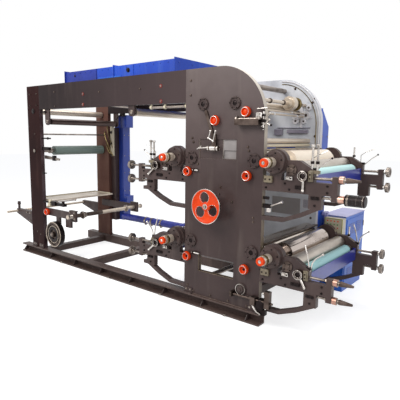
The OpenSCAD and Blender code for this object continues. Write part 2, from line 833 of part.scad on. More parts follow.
// Eccentric rings on the fountain rollers' bearings, each with a lever
module pressure_levers() {
    color(steel) for (level = [0, 1], side = [-1, 1]) at_station(side, level) {
        swing = side < 0 ? 40 : level == 0 ? 62 : 90;
        reach = side < 0 ? 1.35 * lever_l : lever_l;
        translate([fountain_x, 0, fountain_dz]) {
            turned(-outer_y) ring_profile(lever_ring_r, 38, bore_r);
            rotate([0, swing, 0]) translate([lever_ring_r - 6, -outer_y - 14, 0]) {
                rotate([0, 90, 0]) cylinder(r = lever_r, h = reach);
                translate([reach, 0, 0]) sphere(1.25 * lever_r);
            }
        }
    }
}

module handwheel() {
    web_r = wheel_r - wheel_rim;
    color(orange) translate([-wheel_shift, -outer_y - wheel_reach, wheel_z]) {
        rotate([90, 0, 0]) rotate_extrude() translate([web_r, 0]) circle(wheel_rim);
        upright(-wheel_web / 2, wheel_web) difference() {
            circle(web_r);
            for (a = [0, 120, 240]) rotate(a) translate([0.56 * web_r, 0]) circle(0.34 * web_r);
        }
        turned(wheel_web / 2 + 12) polygon([
            [0, 0], [wheel_hub_r, 0], [wheel_hub_r, 18], [wheel_hub_r - 8, 30], [18, 34], [0, 34]
        ]);
        shaft(journal_r, 0, wheel_reach - journal_fit);
    }
}

module pressure_knobs() {
    side_knobs = [for (z = knob_z, side = [-1, 1]) [side * knob_out - knob_shift, z]];
    color(orange) {
        for (p = concat(side_knobs, [top_knob, mid_knob]))
            translate([p[0], 0, p[1]]) turned(-outer_y) knob_profile(knob_r, knob_reach, knob_bowl_r);
        translate([post_knob[0], 0, post_knob[1]])
            turned(-face_y) knob_profile(knob_r, knob_reach, knob_bowl_r);
    }
}

// Flanged rings on the tower's operator side round the rollers' ends, the handwheel's shaft and a tie
module bearing_rings() {
    color(paint_dark) {
        for (z = station_z, side = [-1, 1])
            translate([side * impression_x, 0, z]) turned(-outer_y) ring_profile(ring_r, ring_t, bore_r);
        for (x = guide_x)
            translate([x, 0, guide_z]) turned(-outer_y) ring_profile(ring_r - 6, ring_t, bore_r);
        translate([-wheel_shift, 0, wheel_z]) turned(-outer_y) polygon([
            [bore_r, 0], [wheel_hub_r + 8, 0], [wheel_hub_r + 8, ring_t - 4], [wheel_hub_r + 4, ring_t],
            [bore_r, ring_t]
        ]);
        translate([boss_tie[0], 0, boss_tie[1]]) turned(-outer_y) polygon([
            [0, 0], [boss_r, 0], [boss_r, 10], [boss_r - 4, 14], [0.6 * boss_r, 14],
            [0.56 * boss_r, 24], [0.28 * boss_r, 26], [0.26 * boss_r, 40], [0, 42]
        ]);
    }
}

module web_guide_rollers() {
    hung_end = outer_y - hanger_in;
    color(cream) {
        for (x = guide_x) translate([x, 0, guide_z]) roller(guide_r, roller_l, journal_r, -outer_y, outer_y);
        translate([post_mid_x, 0, infeed_z]) roller(guide_r, roller_l, journal_r, -outer_y, outer_y);
        for (p = [[hung_x, hung_z], [inner_hung_x, inner_z]]) translate([p[0], 0, p[1]])
            roller(guide_r, roller_l, journal_r, -hung_end, hung_end);
        translate([edge_rod[0], 0, edge_rod[1]]) shaft(edge_rod_r, -outer_y - edge_rod_reach, outer_y);
    }
}

// Rollers and rods in the top of the tower, held by both plates
module upper_web_rollers() {
    color(cream) {
        translate([register_out, 0, register_z]) {
            shaft(register_shaft_r, -face_y, face_y);
            shaft(register_r, register_y, register_y + register_l);
            shaft(0.7 * register_r, register_y - 0.6 * register_l, register_y);
        }
        for (i = [0, 1]) translate([register_out, 0, register_z - rod_drop - i * rod_step])
            shaft(web_rod_r, -face_y, face_y);
        translate([exit_out, 0, station_z[1] + exit_rise]) shaft(exit_r, -face_y, face_y);
    }
}

module roller_hangers() {
    color(paint_dark)
        for (p = [[hung_x, hung_z], [inner_hung_x, inner_z]],
             y0 = [hanger_in - outer_y, outer_y - hanger_in - hanger_t])
            upright(y0, hanger_t) difference() {
                union() {
                    translate([p[0] - hanger_w / 2, p[1]]) square([hanger_w, beam_z - p[1]]);
                    translate(p) circle(hanger_w / 2);
                }
                translate(p) circle(bore_r);
            }
}

module pull_roller() {
    color([0.37, 0.46, 0.42]) translate([post_mid_x, 0, pull_z]) {
        shaft(pull_r, -pull_near, face_y - roller_gap);
        shaft(0.6 * pull_r, -pull_near - 70, -pull_near - 40);
        shaft(journal_r, -face_y - stub_l, face_y + plate_t);
    }
}

module unwind_arms() {
    color(paint_dark) for (y0 = [-face_y, face_y - unwind_arm_t]) upright(y0, unwind_arm_t)
        difference() {
            union() {
                translate([post_mid_x, unwind_z - unwind_arm_h / 2])
                    square([unwind_x - post_mid_x, unwind_arm_h]);
                translate([unwind_x - end_block / 2, unwind_z - end_block / 2]) square(end_block);
            }
            translate([unwind_x, unwind_z]) circle(unwind_r + journal_fit);
        }
    color(paint_dark) upright(-face_y, unwind_arm_t) difference() {
        union() {
            translate([unwind_x - hung_block_in - hung_block / 2, unwind_z - unwind_arm_h / 2 - hung_block])
                square(hung_block);
            translate([tension_x - lug_w / 2, tension_z])
                square([lug_w, unwind_z - unwind_arm_h / 2 - tension_z]);
            translate([tension_x, tension_z]) circle(lug_w / 2);
        }
        translate([tension_x, tension_z]) circle(bore_r);
    }
}

// Tapered plates on the outer edges of the posts, with the edge rod's bosses and a clamp handle
module unwind_gussets() {
    color(paint_dark) for (y0 = [-outer_y, face_y]) upright(y0, plate_t) difference() {
        polygon([
            [gusset_tip_x, gusset_z], [gusset_tip_x, gusset_z - gusset_tip_h],
            [post_x, gusset_z - gusset_h], [post_x, gusset_z]
        ]);
        translate(edge_rod) circle(edge_rod_r);
    }
    color(steel) translate([edge_rod[0], -screw_y, gusset_z]) {
        cylinder(r = 16, h = 60);
        translate([0, 0, 60]) cylinder(r1 = 24, r2 = 19, h = 40);
    }
}

module unwind_shaft() {
    color(chrome) translate([unwind_x, 0, unwind_z])
        shaft(unwind_r, -outer_y - 20, outer_y + 60);
}

module tension_wheel() {
    color(steel) translate([tension_x, -face_y - tension_gap, tension_z]) {
        difference() {
            shaft(tension_r, -tension_w, 0);
            shaft(tension_r - 30, -tension_w - cut, 12 - tension_w);
        }
        shaft(35, -tension_w - 20, 0);
        shaft(journal_r, -tension_w, tension_gap + unwind_arm_t + 10);
    }
}

module web_table() {
    color(cream) translate([post_x - table_out, -face_y, table_z]) cube([table_w, inside_w, table_t]);
}

// The drying hood, in two lengths that meet at a flanged seam
module drying_hood() {
    section = [hood_w, hood_sink + hood_rise];
    color(paint_blue) translate([hood_x, 0, frame_h - hood_sink]) {
        translate([0, -section[0] / 2, 0]) cube([hood_l, section[0], section[1]]);
        for (x = [0, hood_l / 2 - seam_t, hood_l - seam_t])
            translate([x, -section[0] / 2 - seam_h, hood_sink + seam_h])
                cube([seam_t, section[0] + 2 * seam_h, hood_rise]);
    }
}

// Upright box guard with a wide head and a flange near its foot
module column_guard() {
    color(paint_blue) upright(column_y, column_d) union() {
        translate([column_x, column_base]) square([column_w, column_top - column_base]);
        translate([column_x, column_top - head_h]) square([column_w + head_out, head_h]);
        translate([column_x, column_base + flange_rise]) square([column_w + head_out, flange_h]);
    }
}

// Plate bracket that carries the column guard on the post
module column_bracket() {
    color(paint_dark) translate([post_inner_x - post_rod_in, outer_y, column_base])
        cube([post_rod_in + column_w / 2, bracket_d, column_top - column_base - head_h]);
}

// Tubular guard of the line shaft from the column to the tower, with a clamp
module line_shaft_guard() {
    line_end = guard_in - tower_half;
    clamp_x = -tower_half - line_clamp_out - column_x - column_w;
    line_l = line_end - column_x - column_w;
    color(paint_blue) translate([column_x + column_w, line_y, line_z]) turned_x() polygon([
        [0, 0], [line_r, 0], [line_r, clamp_x], [line_clamp_r, clamp_x],
        [line_clamp_r, clamp_x + line_clamp_w], [line_r, clamp_x + line_clamp_w], [line_r, line_l], [0, line_l]
    ]);
}

module gear_guard() {
    color(paint_blue) translate([guard_in - tower_half, 0, 0]) rotate([90, 0, 90])
        linear_extrude(tower_w - 2 * guard_in)
        polygon([
            [outer_y, guard_base], [outer_y + guard_d, guard_base],
            [outer_y + guard_d, frame_h - guard_drop - guard_d], [outer_y, frame_h - guard_drop]
        ]);
}

// A cabinet on the floor behind the station, with a cable duct to the gear guard
module electrical_cabinet() {
    duct_y = outer_y + guard_d - duct_w;
    color(paint_blue) {
        translate([tower_half, outer_y + cabinet_back, 0]) cube([cabinet_l, cabinet_d, cabinet_h]);
        translate([tower_half - guard_in, duct_y, duct_z]) cube([guard_in + cut, duct_w, duct_h]);
    }
}

module control_box() {
    color([0.7, 0.68, 0.6]) translate([tower_half + cabinet_l - box_w, outer_y + cabinet_back - box_d, box_z])
        cube([box_w, box_d, box_w]);
}

// Brackets, rods and levers on the operator side of the tower
module operator_brackets() {
    rod_y = -outer_y - low_rod_out;
    clamp_d = low_rod_out + clamp_a / 2;
    air = [-air_l - 12, station_z[1] + air_rise];
    hanger_top = window_z[1] + window_h[1] + clamp_a;
    swing_top = [guide_x[0] + 34, guide_z - 66];
    swing_foot = [mid_knob[0] - 10, mid_knob[1] - 175];
    color(steel) {
        translate([low_rod_x, rod_y, low_rod_z]) rotate([0, 90, 0]) cylinder(r = rod_r, h = low_rod_l);
        translate([low_rod_x, rod_y - clamp_a / 2, low_rod_z - clamp_a / 2])
            cube([clamp_a / 2, clamp_d, clamp_a]);
        translate([tower_half - 1.2 * clamp_a, rod_y - clamp_a / 2, low_rod_z - clamp_a])
            cube([clamp_a, clamp_d, 1.5 * clamp_a]);
        translate([low_rod_x + low_rod_l - 1.5 * clamp_a, rod_y - clamp_a / 2, low_rod_z - clamp_a])
            cube([clamp_a, clamp_a, 3.2 * clamp_a]);
        translate([top_knob[0] + ledge_shift - ledge_w / 2, -outer_y - ledge_d, top_knob[1] - ledge_drop])
            cube([ledge_w, ledge_d, ledge_h]);
        upright(-outer_y - lever_t, lever_t) flat_link(swing_top, swing_foot, arm_bar_w);
        translate([air[0] + clamp_a / 2, -outer_y - lever_t, air[1]])
            cube([clamp_a, lever_t, hanger_top - air[1]]);
        translate([air[0], -outer_y - lever_t - air_r, air[1]]) turned_x() polygon([
            [0, 0], [air_r - 4, 0], [air_r, 4], [air_r, air_l - 4], [air_r - 4, air_l], [0, air_l]
        ]);
    }
}

tower_plate(-outer_y);  // front_tower_plate
tower_plate(face_y);  // rear_tower_plate
top_beam(-outer_y);  // front_top_beam
top_beam(face_y);  // rear_top_beam
post(-outer_y);  // front_post
post(face_y);  // rear_post
base_rail(-1);  // front_base_rail
base_rail(1);  // rear_base_rail
base_members();
cross_ties();
impression_rollers();
web_guide_rollers();
roller_hangers();
station_frame(1, 0);  // station_frame_1
station_frame(1, 1);  // station_frame_2
station_frame(-1, 1);  // station_frame_3
station_frame(-1, 0);  // station_frame_4
ink_tray(1, 0);  // ink_tray_1
ink_tray(1, 1);  // ink_tray_2
ink_tray(-1, 1);  // ink_tray_3
ink_tray(-1, 0);  // ink_tray_4
plate_cylinder(1, 0);  // plate_cylinder_1
plate_cylinder(1, 1);  // plate_cylinder_2
plate_cylinder(-1, 1);  // plate_cylinder_3
plate_cylinder(-1, 0);  // plate_cylinder_4
anilox_roller(1, 0);  // anilox_roller_1
anilox_roller(1, 1);  // anilox_roller_2
anilox_roller(-1, 1);  // anilox_roller_3
anilox_roller(-1, 0);  // anilox_roller_4
fountain_roller(1, 0);  // fountain_roller_1
fountain_roller(1, 1);  // fountain_roller_2
fountain_roller(-1, 1);  // fountain_roller_3
fountain_roller(-1, 0);  // fountain_roller_4
handwheel();
pressure_knobs();
pull_roller();
unwind_arms();
unwind_shaft();
tension_wheel();
web_table();
drying_hood();
column_guard();
gear_guard();
electrical_cabinet();
control_box();
line_shaft_guard();
column_bracket();
bearing_rings();
adjusting_screws();
pressure_levers();
flat_bars();
upper_web_rollers();
unwind_gussets();
operator_brackets();
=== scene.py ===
"""Looks of the cement bag printing machine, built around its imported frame."""

from math import cos, pi, radians, sin, tau

import bmesh
import bpy
from mathutils import Matrix, Vector


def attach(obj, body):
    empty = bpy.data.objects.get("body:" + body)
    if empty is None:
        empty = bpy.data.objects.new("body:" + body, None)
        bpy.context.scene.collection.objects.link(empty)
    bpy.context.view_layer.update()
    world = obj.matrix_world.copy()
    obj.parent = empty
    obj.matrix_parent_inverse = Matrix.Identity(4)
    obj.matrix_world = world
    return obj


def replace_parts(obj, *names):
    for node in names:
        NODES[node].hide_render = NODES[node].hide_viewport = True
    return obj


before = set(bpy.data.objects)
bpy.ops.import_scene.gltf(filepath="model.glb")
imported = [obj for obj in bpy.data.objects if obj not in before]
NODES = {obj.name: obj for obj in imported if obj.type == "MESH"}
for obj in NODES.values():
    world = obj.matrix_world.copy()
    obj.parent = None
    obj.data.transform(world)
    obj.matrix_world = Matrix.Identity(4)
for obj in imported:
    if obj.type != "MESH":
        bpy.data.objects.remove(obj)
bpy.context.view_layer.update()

# Main places of the machine, in metres, as the part's source has them
FACE_Y = 0.525
OUTER_Y = 0.575
TOWER_HALF = 0.418
POST_X = -3.118
POST_INNER_X = -2.844
POST_MID_X = -2.981
FRAME_H = 2.2
STATION_Z = (0.63, 1.41)
STATIONS = {1: (1, 0), 2: (1, 1), 3: (-1, 1), 4: (-1, 0)}
PLATE_X = 0.5325
IMPRESSION_X = 0.333
ANILOX = (0.67506, -0.05415)
FOUNTAIN = (0.78023, -0.0941)
INK_END_X = 0.86023
LEG_X = 0.928
ARM_END_X = 1.048
BLOCK_X = 1.003
SCREW_Y = 0.55
SCREW_DZ = (-0.11, -0.253)
KNOBS = ((-0.374, 0.474), (0.274, 0.474), (-0.374, 1.282), (0.274, 1.282), (0.25, 1.81), (-0.068, 1.743))
POST_KNOB = (-2.801, 0.6)
KNOB_R = 0.043
KNOB_L = 0.045
WHEEL = (-0.075, -0.695, 0.995)
WHEEL_R = 0.144
WHEEL_STOP = 20  # degrees from the CAD's pose to the photo's
UNWIND_X, UNWIND_Z = -2.284, 0.6
SHAFT_X, SHAFT_Z = 0.238, 1.928
TUBE_Y, TUBE_Z = 0.651, 0.397
FRONT = (0, -1, 0)
BACK = (0, 1, 0)
UP = (0, 0, 1)
ALONG = (1, 0, 0)


# ---------------------------------------------------------------- camera, light and floor
def placed(name, data):
    """A new object of the data, in the scene."""
    made = bpy.data.objects.new(name, data)
    bpy.context.scene.collection.objects.link(made)
    return made


def make_camera():
    """The photo's camera: its place, turn and focal length were fitted to the machine's edges."""
    yaw, pitch, roll = (radians(a) for a in (38.48, 8.39, 0.84))
    away = Vector((-sin(yaw) * cos(pitch), cos(yaw) * cos(pitch), -sin(pitch)))
    right = Vector((cos(yaw), sin(yaw), 0))
    up = right.cross(away)
    right_rolled = cos(roll) * right + sin(roll) * up
    up_rolled = -sin(roll) * right + cos(roll) * up
    turn = Matrix((right_rolled, up_rolled, -away)).transposed().to_4x4()
    data = bpy.data.cameras.new("camera")
    data.sensor_width = 36
    focal_pixels, photo_pixels = 435.5, 400
    data.lens = data.sensor_width * focal_pixels / photo_pixels
    data.clip_end = 60
    camera = placed("camera", data)
    camera.matrix_world = Matrix.Translation((2.2305, -3.679, 1.609)) @ turn
    bpy.context.scene.camera = camera


def area_light(name, place, aim, size, power, colour=(1, 1, 1)):
    data = bpy.data.lights.new(name, "AREA")
    data.shape = "RECTANGLE"
    data.size, data.size_y = size
    data.energy = power
    data.color = colour
    lamp = placed(name, data)
    lamp.location = place
    lamp.rotation_euler = (Vector(aim) - Vector(place)).to_track_quat("-Z", "Y").to_euler()


def seen_directly(tree):
    """One for rays of the camera, of gloss and through glass, and zero for the light that falls on things."""
    path = tree.nodes.new("ShaderNodeLightPath")
    total = path.outputs["Is Camera Ray"]
    for ray in ("Is Glossy Ray", "Is Transmission Ray"):
        add = tree.nodes.new("ShaderNodeMath")
        add.operation = "MAXIMUM"
        tree.links.new(total, add.inputs[0])
        tree.links.new(path.outputs[ray], add.inputs[1])
        total = add.outputs[0]
    return total


def make_world(scene):
    """Soft daylight that the camera and gloss see as plain white."""
    world = bpy.data.worlds.new("studio")
    world.use_nodes = True
    tree = world.node_tree
    tree.nodes.clear()
    out = tree.nodes.new("ShaderNodeOutputWorld")
    mix = tree.nodes.new("ShaderNodeMixShader")
    soft = tree.nodes.new("ShaderNodeBackground")
    soft.inputs["Color"].default_value = (0.93, 0.95, 1, 1)
    soft.inputs["Strength"].default_value = 0.6
    seen = tree.nodes.new("ShaderNodeBackground")
    seen.inputs["Color"].default_value = (1, 1, 1, 1)
    seen.inputs["Strength"].default_value = 1
    tree.links.new(seen_directly(tree), mix.inputs["Fac"])
    tree.links.new(soft.outputs[0], mix.inputs[1])
    tree.links.new(seen.outputs[0], mix.inputs[2])
    tree.links.new(mix.outputs[0], out.inputs["Surface"])
    scene.world = world


def make_floor():
    """A pale stage that the camera sees lit and that throws back less light than it shows."""
    half = 30
    mesh = bpy.data.meshes.new("floor")
    mesh.from_pydata([(-half, -half, 0), (half, -half, 0), (half, half, 0), (-half, half, 0)], [],
        [(0, 1, 2, 3)])
    floor = placed("floor", mesh)
    floor.location.z = -0.001
    skin = bpy.data.materials.new("pale_floor")
    skin.use_nodes = True
    tree = skin.node_tree
    tree.nodes.clear()
    out = tree.nodes.new("ShaderNodeOutputMaterial")
    both = tree.nodes.new("ShaderNodeAddShader")
    plain = tree.nodes.new("ShaderNodeBsdfDiffuse")
    plain.inputs["Color"].default_value = (0.55, 0.55, 0.55, 1)
    glow = tree.nodes.new("ShaderNodeEmission")
    share = tree.nodes.new("ShaderNodeMath")
    share.operation = "MULTIPLY"
    share.inputs[1].default_value = 0.66
    tree.links.new(seen_directly(tree), share.inputs[0])
    tree.links.new(share.outputs[0], glow.inputs["Strength"])
    tree.links.new(plain.outputs[0], both.inputs[0])
    tree.links.new(glow.outputs[0], both.inputs[1])
    tree.links.new(both.outputs[0], out.inputs["Surface"])
    mesh.materials.append(skin)


def make_studio():
    scene = bpy.context.scene
    scene.view_settings.view_transform = "Standard"
    make_world(scene)
    area_light("key", (-2.4, -5.2, 5.2), (-0.8, 0, 1.0), (3.2, 3.2), 310, (1, 0.98, 0.95))
    area_light("fill", (4.8, -3.4, 3.2), (0, 0, 1.0), (3, 3), 120, (0.95, 0.97, 1))
    area_light("top", (-1.0, 1.2, 5.6), (-1.0, 0, 1.0), (5, 3), 180)
    make_floor()


# ---------------------------------------------------------------- finishes
# Radius of the soft edges of painted plates, in metres
PAINT_EDGE = 0.0022


def linear(*values):
    """Linear colour of 0 to 255 screen values."""
    return tuple((v / 255 / 12.92) if v <= 10 else ((v / 255 + 0.055) / 1.055) ** 2.4 for v in values)


class Finish:
    """A node material on Object coordinates that is built step by step."""

    def __init__(self, name, metallic=0.0, roughness=0.4, sheen=None, edge=None, coat=None):
        self.material = bpy.data.materials.new(name)
        self.material.use_nodes = True
        self.tree = self.material.node_tree
        self.tree.nodes.clear()
        out = self.add("ShaderNodeOutputMaterial")
        self.shader = self.add("ShaderNodeBsdfPrincipled")
        self.shader.inputs["Metallic"].default_value = metallic
        self.shader.inputs["Roughness"].default_value = roughness
        self.join(self.shader.outputs[0], out.inputs["Surface"])
        self.source = self.add("ShaderNodeTexCoord")
        self.place = self.source.outputs["Object"]
        self.normal = self.add("ShaderNodeBevel", samples=3, Radius=edge).outputs[0] if edge else None
        if sheen is not None:
            self.shader.inputs["Specular IOR Level"].default_value = sheen
        for label, value in zip(("Coat Weight", "Coat Roughness"), coat or ()):
            self.shader.inputs[label].default_value = value

    def add(self, kind, **settings):
        node = self.tree.nodes.new(kind)
        for key, value in settings.items():
            if hasattr(node, key):
                setattr(node, key, value)
            else:
                node.inputs[key].default_value = value
        return node

    def join(self, source, target):
        self.tree.links.new(source, target)

    def stretched(self, scale):
        node = self.add("ShaderNodeMapping")
        node.inputs["Scale"].default_value = scale
        self.join(self.place, node.inputs["Vector"])
        return node.outputs[0]

    def noise(self, scale, detail, stretch=(1, 1, 1)):
        node = self.add("ShaderNodeTexNoise", Scale=scale, Detail=detail, Roughness=0.55)
        self.join(self.stretched(stretch), node.inputs["Vector"])
        return node.outputs["Fac"]

    def ramp(self, value, low, high):
        node = self.add("ShaderNodeMapRange")
        node.inputs["From Min"].default_value = low
        node.inputs["From Max"].default_value = high
        self.join(value, node.inputs["Value"])
        return node.outputs[0]

    def maths(self, operation, a, b):
        node = self.add("ShaderNodeMath", operation=operation)
        for socket, value in zip(node.inputs, (a, b)):
            if isinstance(value, (int, float)):
                socket.default_value = value
            else:
                self.join(value, socket)
        return node.outputs[0]

    def mix(self, share, a, b):
        node = self.add("ShaderNodeMix", data_type="RGBA")
        if isinstance(share, (int, float)):
            node.inputs["Factor"].default_value = share
        else:
            self.join(share, node.inputs["Factor"])
        for socket, value in ((node.inputs["A"], a), (node.inputs["B"], b)):
            if isinstance(value, tuple):
                socket.default_value = (*linear(*value), 1)
            else:
                self.join(value, socket)
        return node.outputs["Result"]

    def axis(self, letter, output="Object"):
        node = self.add("ShaderNodeSeparateXYZ")
        self.join(self.source.outputs[output], node.inputs[0])
        return node.outputs[letter]

    def edge(self, radius):
        """Share of edge wear, from where a rounded normal leaves the flat one."""
        bevel = self.add("ShaderNodeBevel", samples=3, Radius=radius)
        flat = self.add("ShaderNodeNewGeometry")
        dot = self.add("ShaderNodeVectorMath", operation="DOT_PRODUCT")
        self.join(bevel.outputs[0], dot.inputs[0])
        self.join(flat.outputs["Normal"], dot.inputs[1])
        return self.ramp(self.maths("SUBTRACT", 1.0, dot.outputs["Value"]), 0.06, 0.4)

    def bump(self, height, strength, distance=0.001):
        node = self.add("ShaderNodeBump", Strength=strength, Distance=distance)
        self.join(height, node.inputs["Height"])
        if self.normal is not None:
            self.join(self.normal, node.inputs["Normal"])
        self.normal = node.outputs[0]

    def peel(self, scale=380.0):
        """Orange peel of sprayed or brushed paint."""
        self.bump(self.noise(scale, 2.0), 0.12, 0.0006)

    def scaled(self, value, factor, base):
        """The base and a factor's share of the value."""
        return self.maths("ADD", self.maths("MULTIPLY", value, factor), base)

    def cloudy_gloss(self, base):
        return self.scaled(self.ramp(self.noise(14.0, 5.0), -1.2, 1.9), 0.35, base)

    def done(self, colour, rough=None):
        """The material, with its colour, roughness and normal joined to the shader."""
        self.join(colour, self.shader.inputs["Base Color"])
        if rough is not None:
            self.join(rough, self.shader.inputs["Roughness"])
        if self.normal is not None:
            self.join(self.normal, self.shader.inputs["Normal"])
        return self.material


def worn_enamel(f, base, shade, worn, wear):
    """Cloudy enamel colour with run marks and rubbed edges, on a finish that is being built."""
    cloud = f.ramp(f.noise(2.4, 5.0), 0.32, 0.7)
    colour = f.mix(cloud, base, shade)
    streak = f.ramp(f.noise(9.0, 4.0, (1, 1, 0.12)), 0.55, 0.8)
    colour = f.mix(f.maths("MULTIPLY", streak, 0.2), colour, worn)
    rubbed = f.maths("MULTIPLY", f.edge(0.005), f.ramp(f.noise(38.0, 4.0), 0.42, 0.62))
    return f.mix(f.maths("MULTIPLY", rubbed, wear), colour, worn)


def enamel(name, base, shade, worn, gloss=0.34, wear=0.5, coat=0.25, sheen=0.5):
    """Brushed or sprayed enamel: cloudy colour, orange peel, rubbed edges and a film of dust."""
    f = Finish(name, 0.0, gloss, sheen, PAINT_EDGE, (coat, 0.18))
    colour = worn_enamel(f, base, shade, worn, wear)
    f.peel(420.0)
    return f.done(colour, f.cloudy_gloss(gloss - 0.16))


def plate_enamel(name, base, shade, worn, sheen_low, sheen_high, inner=None, inner_shade=None):
    """Enamelled plate whose edge faces are painted pale as a painted highlight, paler towards the top, and on
    request a pale side towards the web.
    """
    f = Finish(name, 0.0, 0.38, 0.22, PAINT_EDGE, (0.06, 0.2))
    colour = worn_enamel(f, base, shade, worn, 0.5)
    across = f.axis("Y", "Normal")
    if inner:
        light = f.mix(f.ramp(f.noise(5.0, 5.0), 0.4, 0.85), inner, inner_shade)
        colour = f.mix(f.ramp(f.maths("MULTIPLY", across, -1.0), 0.4, 0.6), colour, light)
    height = f.maths("ADD", f.axis("Z"), f.maths("MULTIPLY", f.noise(6.0, 4.0), 0.5))
    # Lighter towards the top, by height and noise: dust and painted sheen
    if not inner:
        painted_light = f.maths("MULTIPLY", f.ramp(height, 1.45, 2.5), 0.52)
        colour = f.mix(painted_light, colour, (122, 110, 108))
    # Edge faces take a painted highlight, paler towards the top as if lit from above
    rim = f.mix(f.ramp(height, 1.5, 2.35), sheen_low, sheen_high)
    flat = f.ramp(f.maths("ABSOLUTE", across, 0.0), 0.75, 0.9)
    colour = f.mix(flat, rim, colour)
    f.peel()
    return f.done(colour, f.cloudy_gloss(0.22))


def beam_enamel(name):
    """Enamel of the long beams, darker by the post and lighter towards the tower."""
    f = Finish(name, 0.0, 0.38, 0.12, PAINT_EDGE)
    dark = worn_enamel(f, (36, 26, 27), (28, 19, 20), (106, 92, 86), 0.45)
    along = f.maths("ADD", f.axis("X"), f.maths("MULTIPLY", f.noise(3.0, 4.0), 0.8))
    f.peel()
    return f.done(f.mix(f.maths("MULTIPLY", f.ramp(along, -2.2, 0.4), 0.8), dark, (82, 69, 69)))


def hood_enamel(name):
    """Gloss blue of the hood, with its first panel in an older, darker coat."""
    f = Finish(name, 0.0, 0.34, 0.3, PAINT_EDGE)
    colour = worn_enamel(f, (30, 76, 190), (24, 62, 168), (120, 150, 205), 0.3)
    old = worn_enamel(f, (34, 54, 150), (26, 42, 126), (110, 130, 180), 0.4)
    f.peel(420.0)
    return f.done(f.mix(f.ramp(f.axis("X"), -1.842, -1.838), old, colour))


def guard_enamel(name):
    """Blue of the gear guard, with a painted sheen of pale lavender on its upward faces such as its sloping
    lid.
    """
    f = Finish(name, 0.0, 0.32, 0.4, PAINT_EDGE)
    colour = worn_enamel(f, (44, 92, 196), (34, 74, 176), (130, 160, 215), 0.25)
    # Painted sheen: faces that look upwards are painted pale lavender
    top_sheen = f.mix(f.ramp(f.noise(12.0, 4.0), 0.35, 0.75), (214, 206, 228), (176, 172, 208))
    f.peel(420.0)
    return f.done(f.mix(f.ramp(f.axis("Z", "Normal"), 0.4, 0.6), colour, top_sheen))


def post_enamel(name, base, shade, worn, inner):
    """Enamelled post whose side towards the bay takes its own tone, a painted light and shade of that side.
    """
    f = Finish(name, 0.0, 0.45, 0.05, PAINT_EDGE)
    colour = worn_enamel(f, base, shade, worn, 0.45)
    # The side facing +X gets its own tone as painted light and shade: paler on the front post, darker on the
    # rear post
    painted_light = f.mix(f.ramp(f.noise(6.0, 4.0), 0.35, 0.75), inner, shade)
    f.peel()
    return f.done(f.mix(f.ramp(f.axis("X", "Normal"), 0.5, 0.7), colour, painted_light))


def guide_roller_metal(name):
    """Cream tubes of the web guides, with the dark cover of the one hung behind the post."""
    f = Finish(name, 0.5, 0.3)
    ring = f.noise(1.0, 2.0, (0.6, 700.0, 0.6))
    stain = f.ramp(f.noise(7.0, 5.0, (1, 0.5, 1)), 0.48, 0.8)
    light = f.mix(f.maths("MULTIPLY", stain, 0.5), (206, 192, 174), (150, 132, 116))
    dark = f.mix(stain, (74, 56, 50), (46, 34, 31))
    behind = f.maths("LESS_THAN", f.axis("X"), -2.6)
    low = f.maths("LESS_THAN", f.axis("Z"), 1.81)
    high = f.maths("GREATER_THAN", f.axis("Z"), 1.7)
    share = f.maths("MULTIPLY", behind, f.maths("MULTIPLY", low, high))
    f.bump(ring, 0.1, 0.0004)
    return f.done(f.mix(share, light, dark))


def turned_metal(name, base, dark, gloss, spacing=900.0, strength=0.12, metallic=1.0):
    """Turned or ground metal: fine rings across the roller's axis and faint stains."""
    f = Finish(name, metallic, gloss, edge=0.0012)
    ring = f.noise(1.0, 2.0, (0.6, spacing, 0.6))
    stain = f.ramp(f.noise(7.0, 5.0, (1, 0.5, 1)), 0.48, 0.8)
    colour = f.mix(f.maths("MULTIPLY", stain, 0.5), base, dark)
    colour = f.mix(f.maths("MULTIPLY", f.ramp(ring, 0.3, 0.7), 0.12), colour, dark)
    f.bump(ring, strength, 0.0004)
    return f.done(colour, f.scaled(stain, 0.2, gloss))


def steel(name, base, dark, gloss=0.32):
    """Steel with grain and darker stains."""
    f = Finish(name, 1.0, gloss, edge=0.001)
    grain = f.noise(60.0, 5.0)
    stain = f.ramp(f.noise(11.0, 5.0), 0.42, 0.72)
    colour = f.mix(stain, base, dark)
    f.bump(grain, 0.1, 0.0005)
    return f.done(colour, f.scaled(grain, 0.2, gloss - 0.08))


def rubber(name, base, dark, near, far):
    """Ground rubber with fine rings and inky smears, and bare steel ends beyond near and far along Y."""
    gloss = 0.45
    f = Finish(name, 0.0, gloss)
    rings = f.noise(1.0, 2.0, (0.4, 520, 0.4))
    smear = f.ramp(f.noise(3.0, 5.0, (4, 0.7, 4)), 0.45, 0.75)
    colour = f.mix(f.maths("MULTIPLY", smear, 0.5), base, dark)
    colour = f.mix(f.maths("MULTIPLY", f.ramp(rings, 0.35, 0.7), 0.2), colour, dark)
    bare = f.maths("MAXIMUM", f.maths("LESS_THAN", f.axis("Y"), near),
        f.maths("GREATER_THAN", f.axis("Y"), far))
    f.join(bare, f.shader.inputs["Metallic"])
    colour = f.mix(bare, colour, f.mix(f.ramp(f.noise(11.0, 5.0), 0.42, 0.72), (150, 140, 132), (98, 86, 78)))
    f.bump(rings, 0.2, 0.0006)
    return f.done(colour, f.scaled(smear, -0.12, gloss))


def moulded(name, base, dark, gloss=0.3, sheen=0.5):
    """Moulded plastic, faintly clouded."""
    f = Finish(name, 0.0, gloss, sheen, 0.0012)
    cloud = f.ramp(f.noise(30.0, 4.0), 0.35, 0.75)
    colour = f.mix(f.maths("MULTIPLY", cloud, 0.35), base, dark)
    f.bump(f.noise(260.0, 3.0), 0.08, 0.0005)
    return f.done(colour)


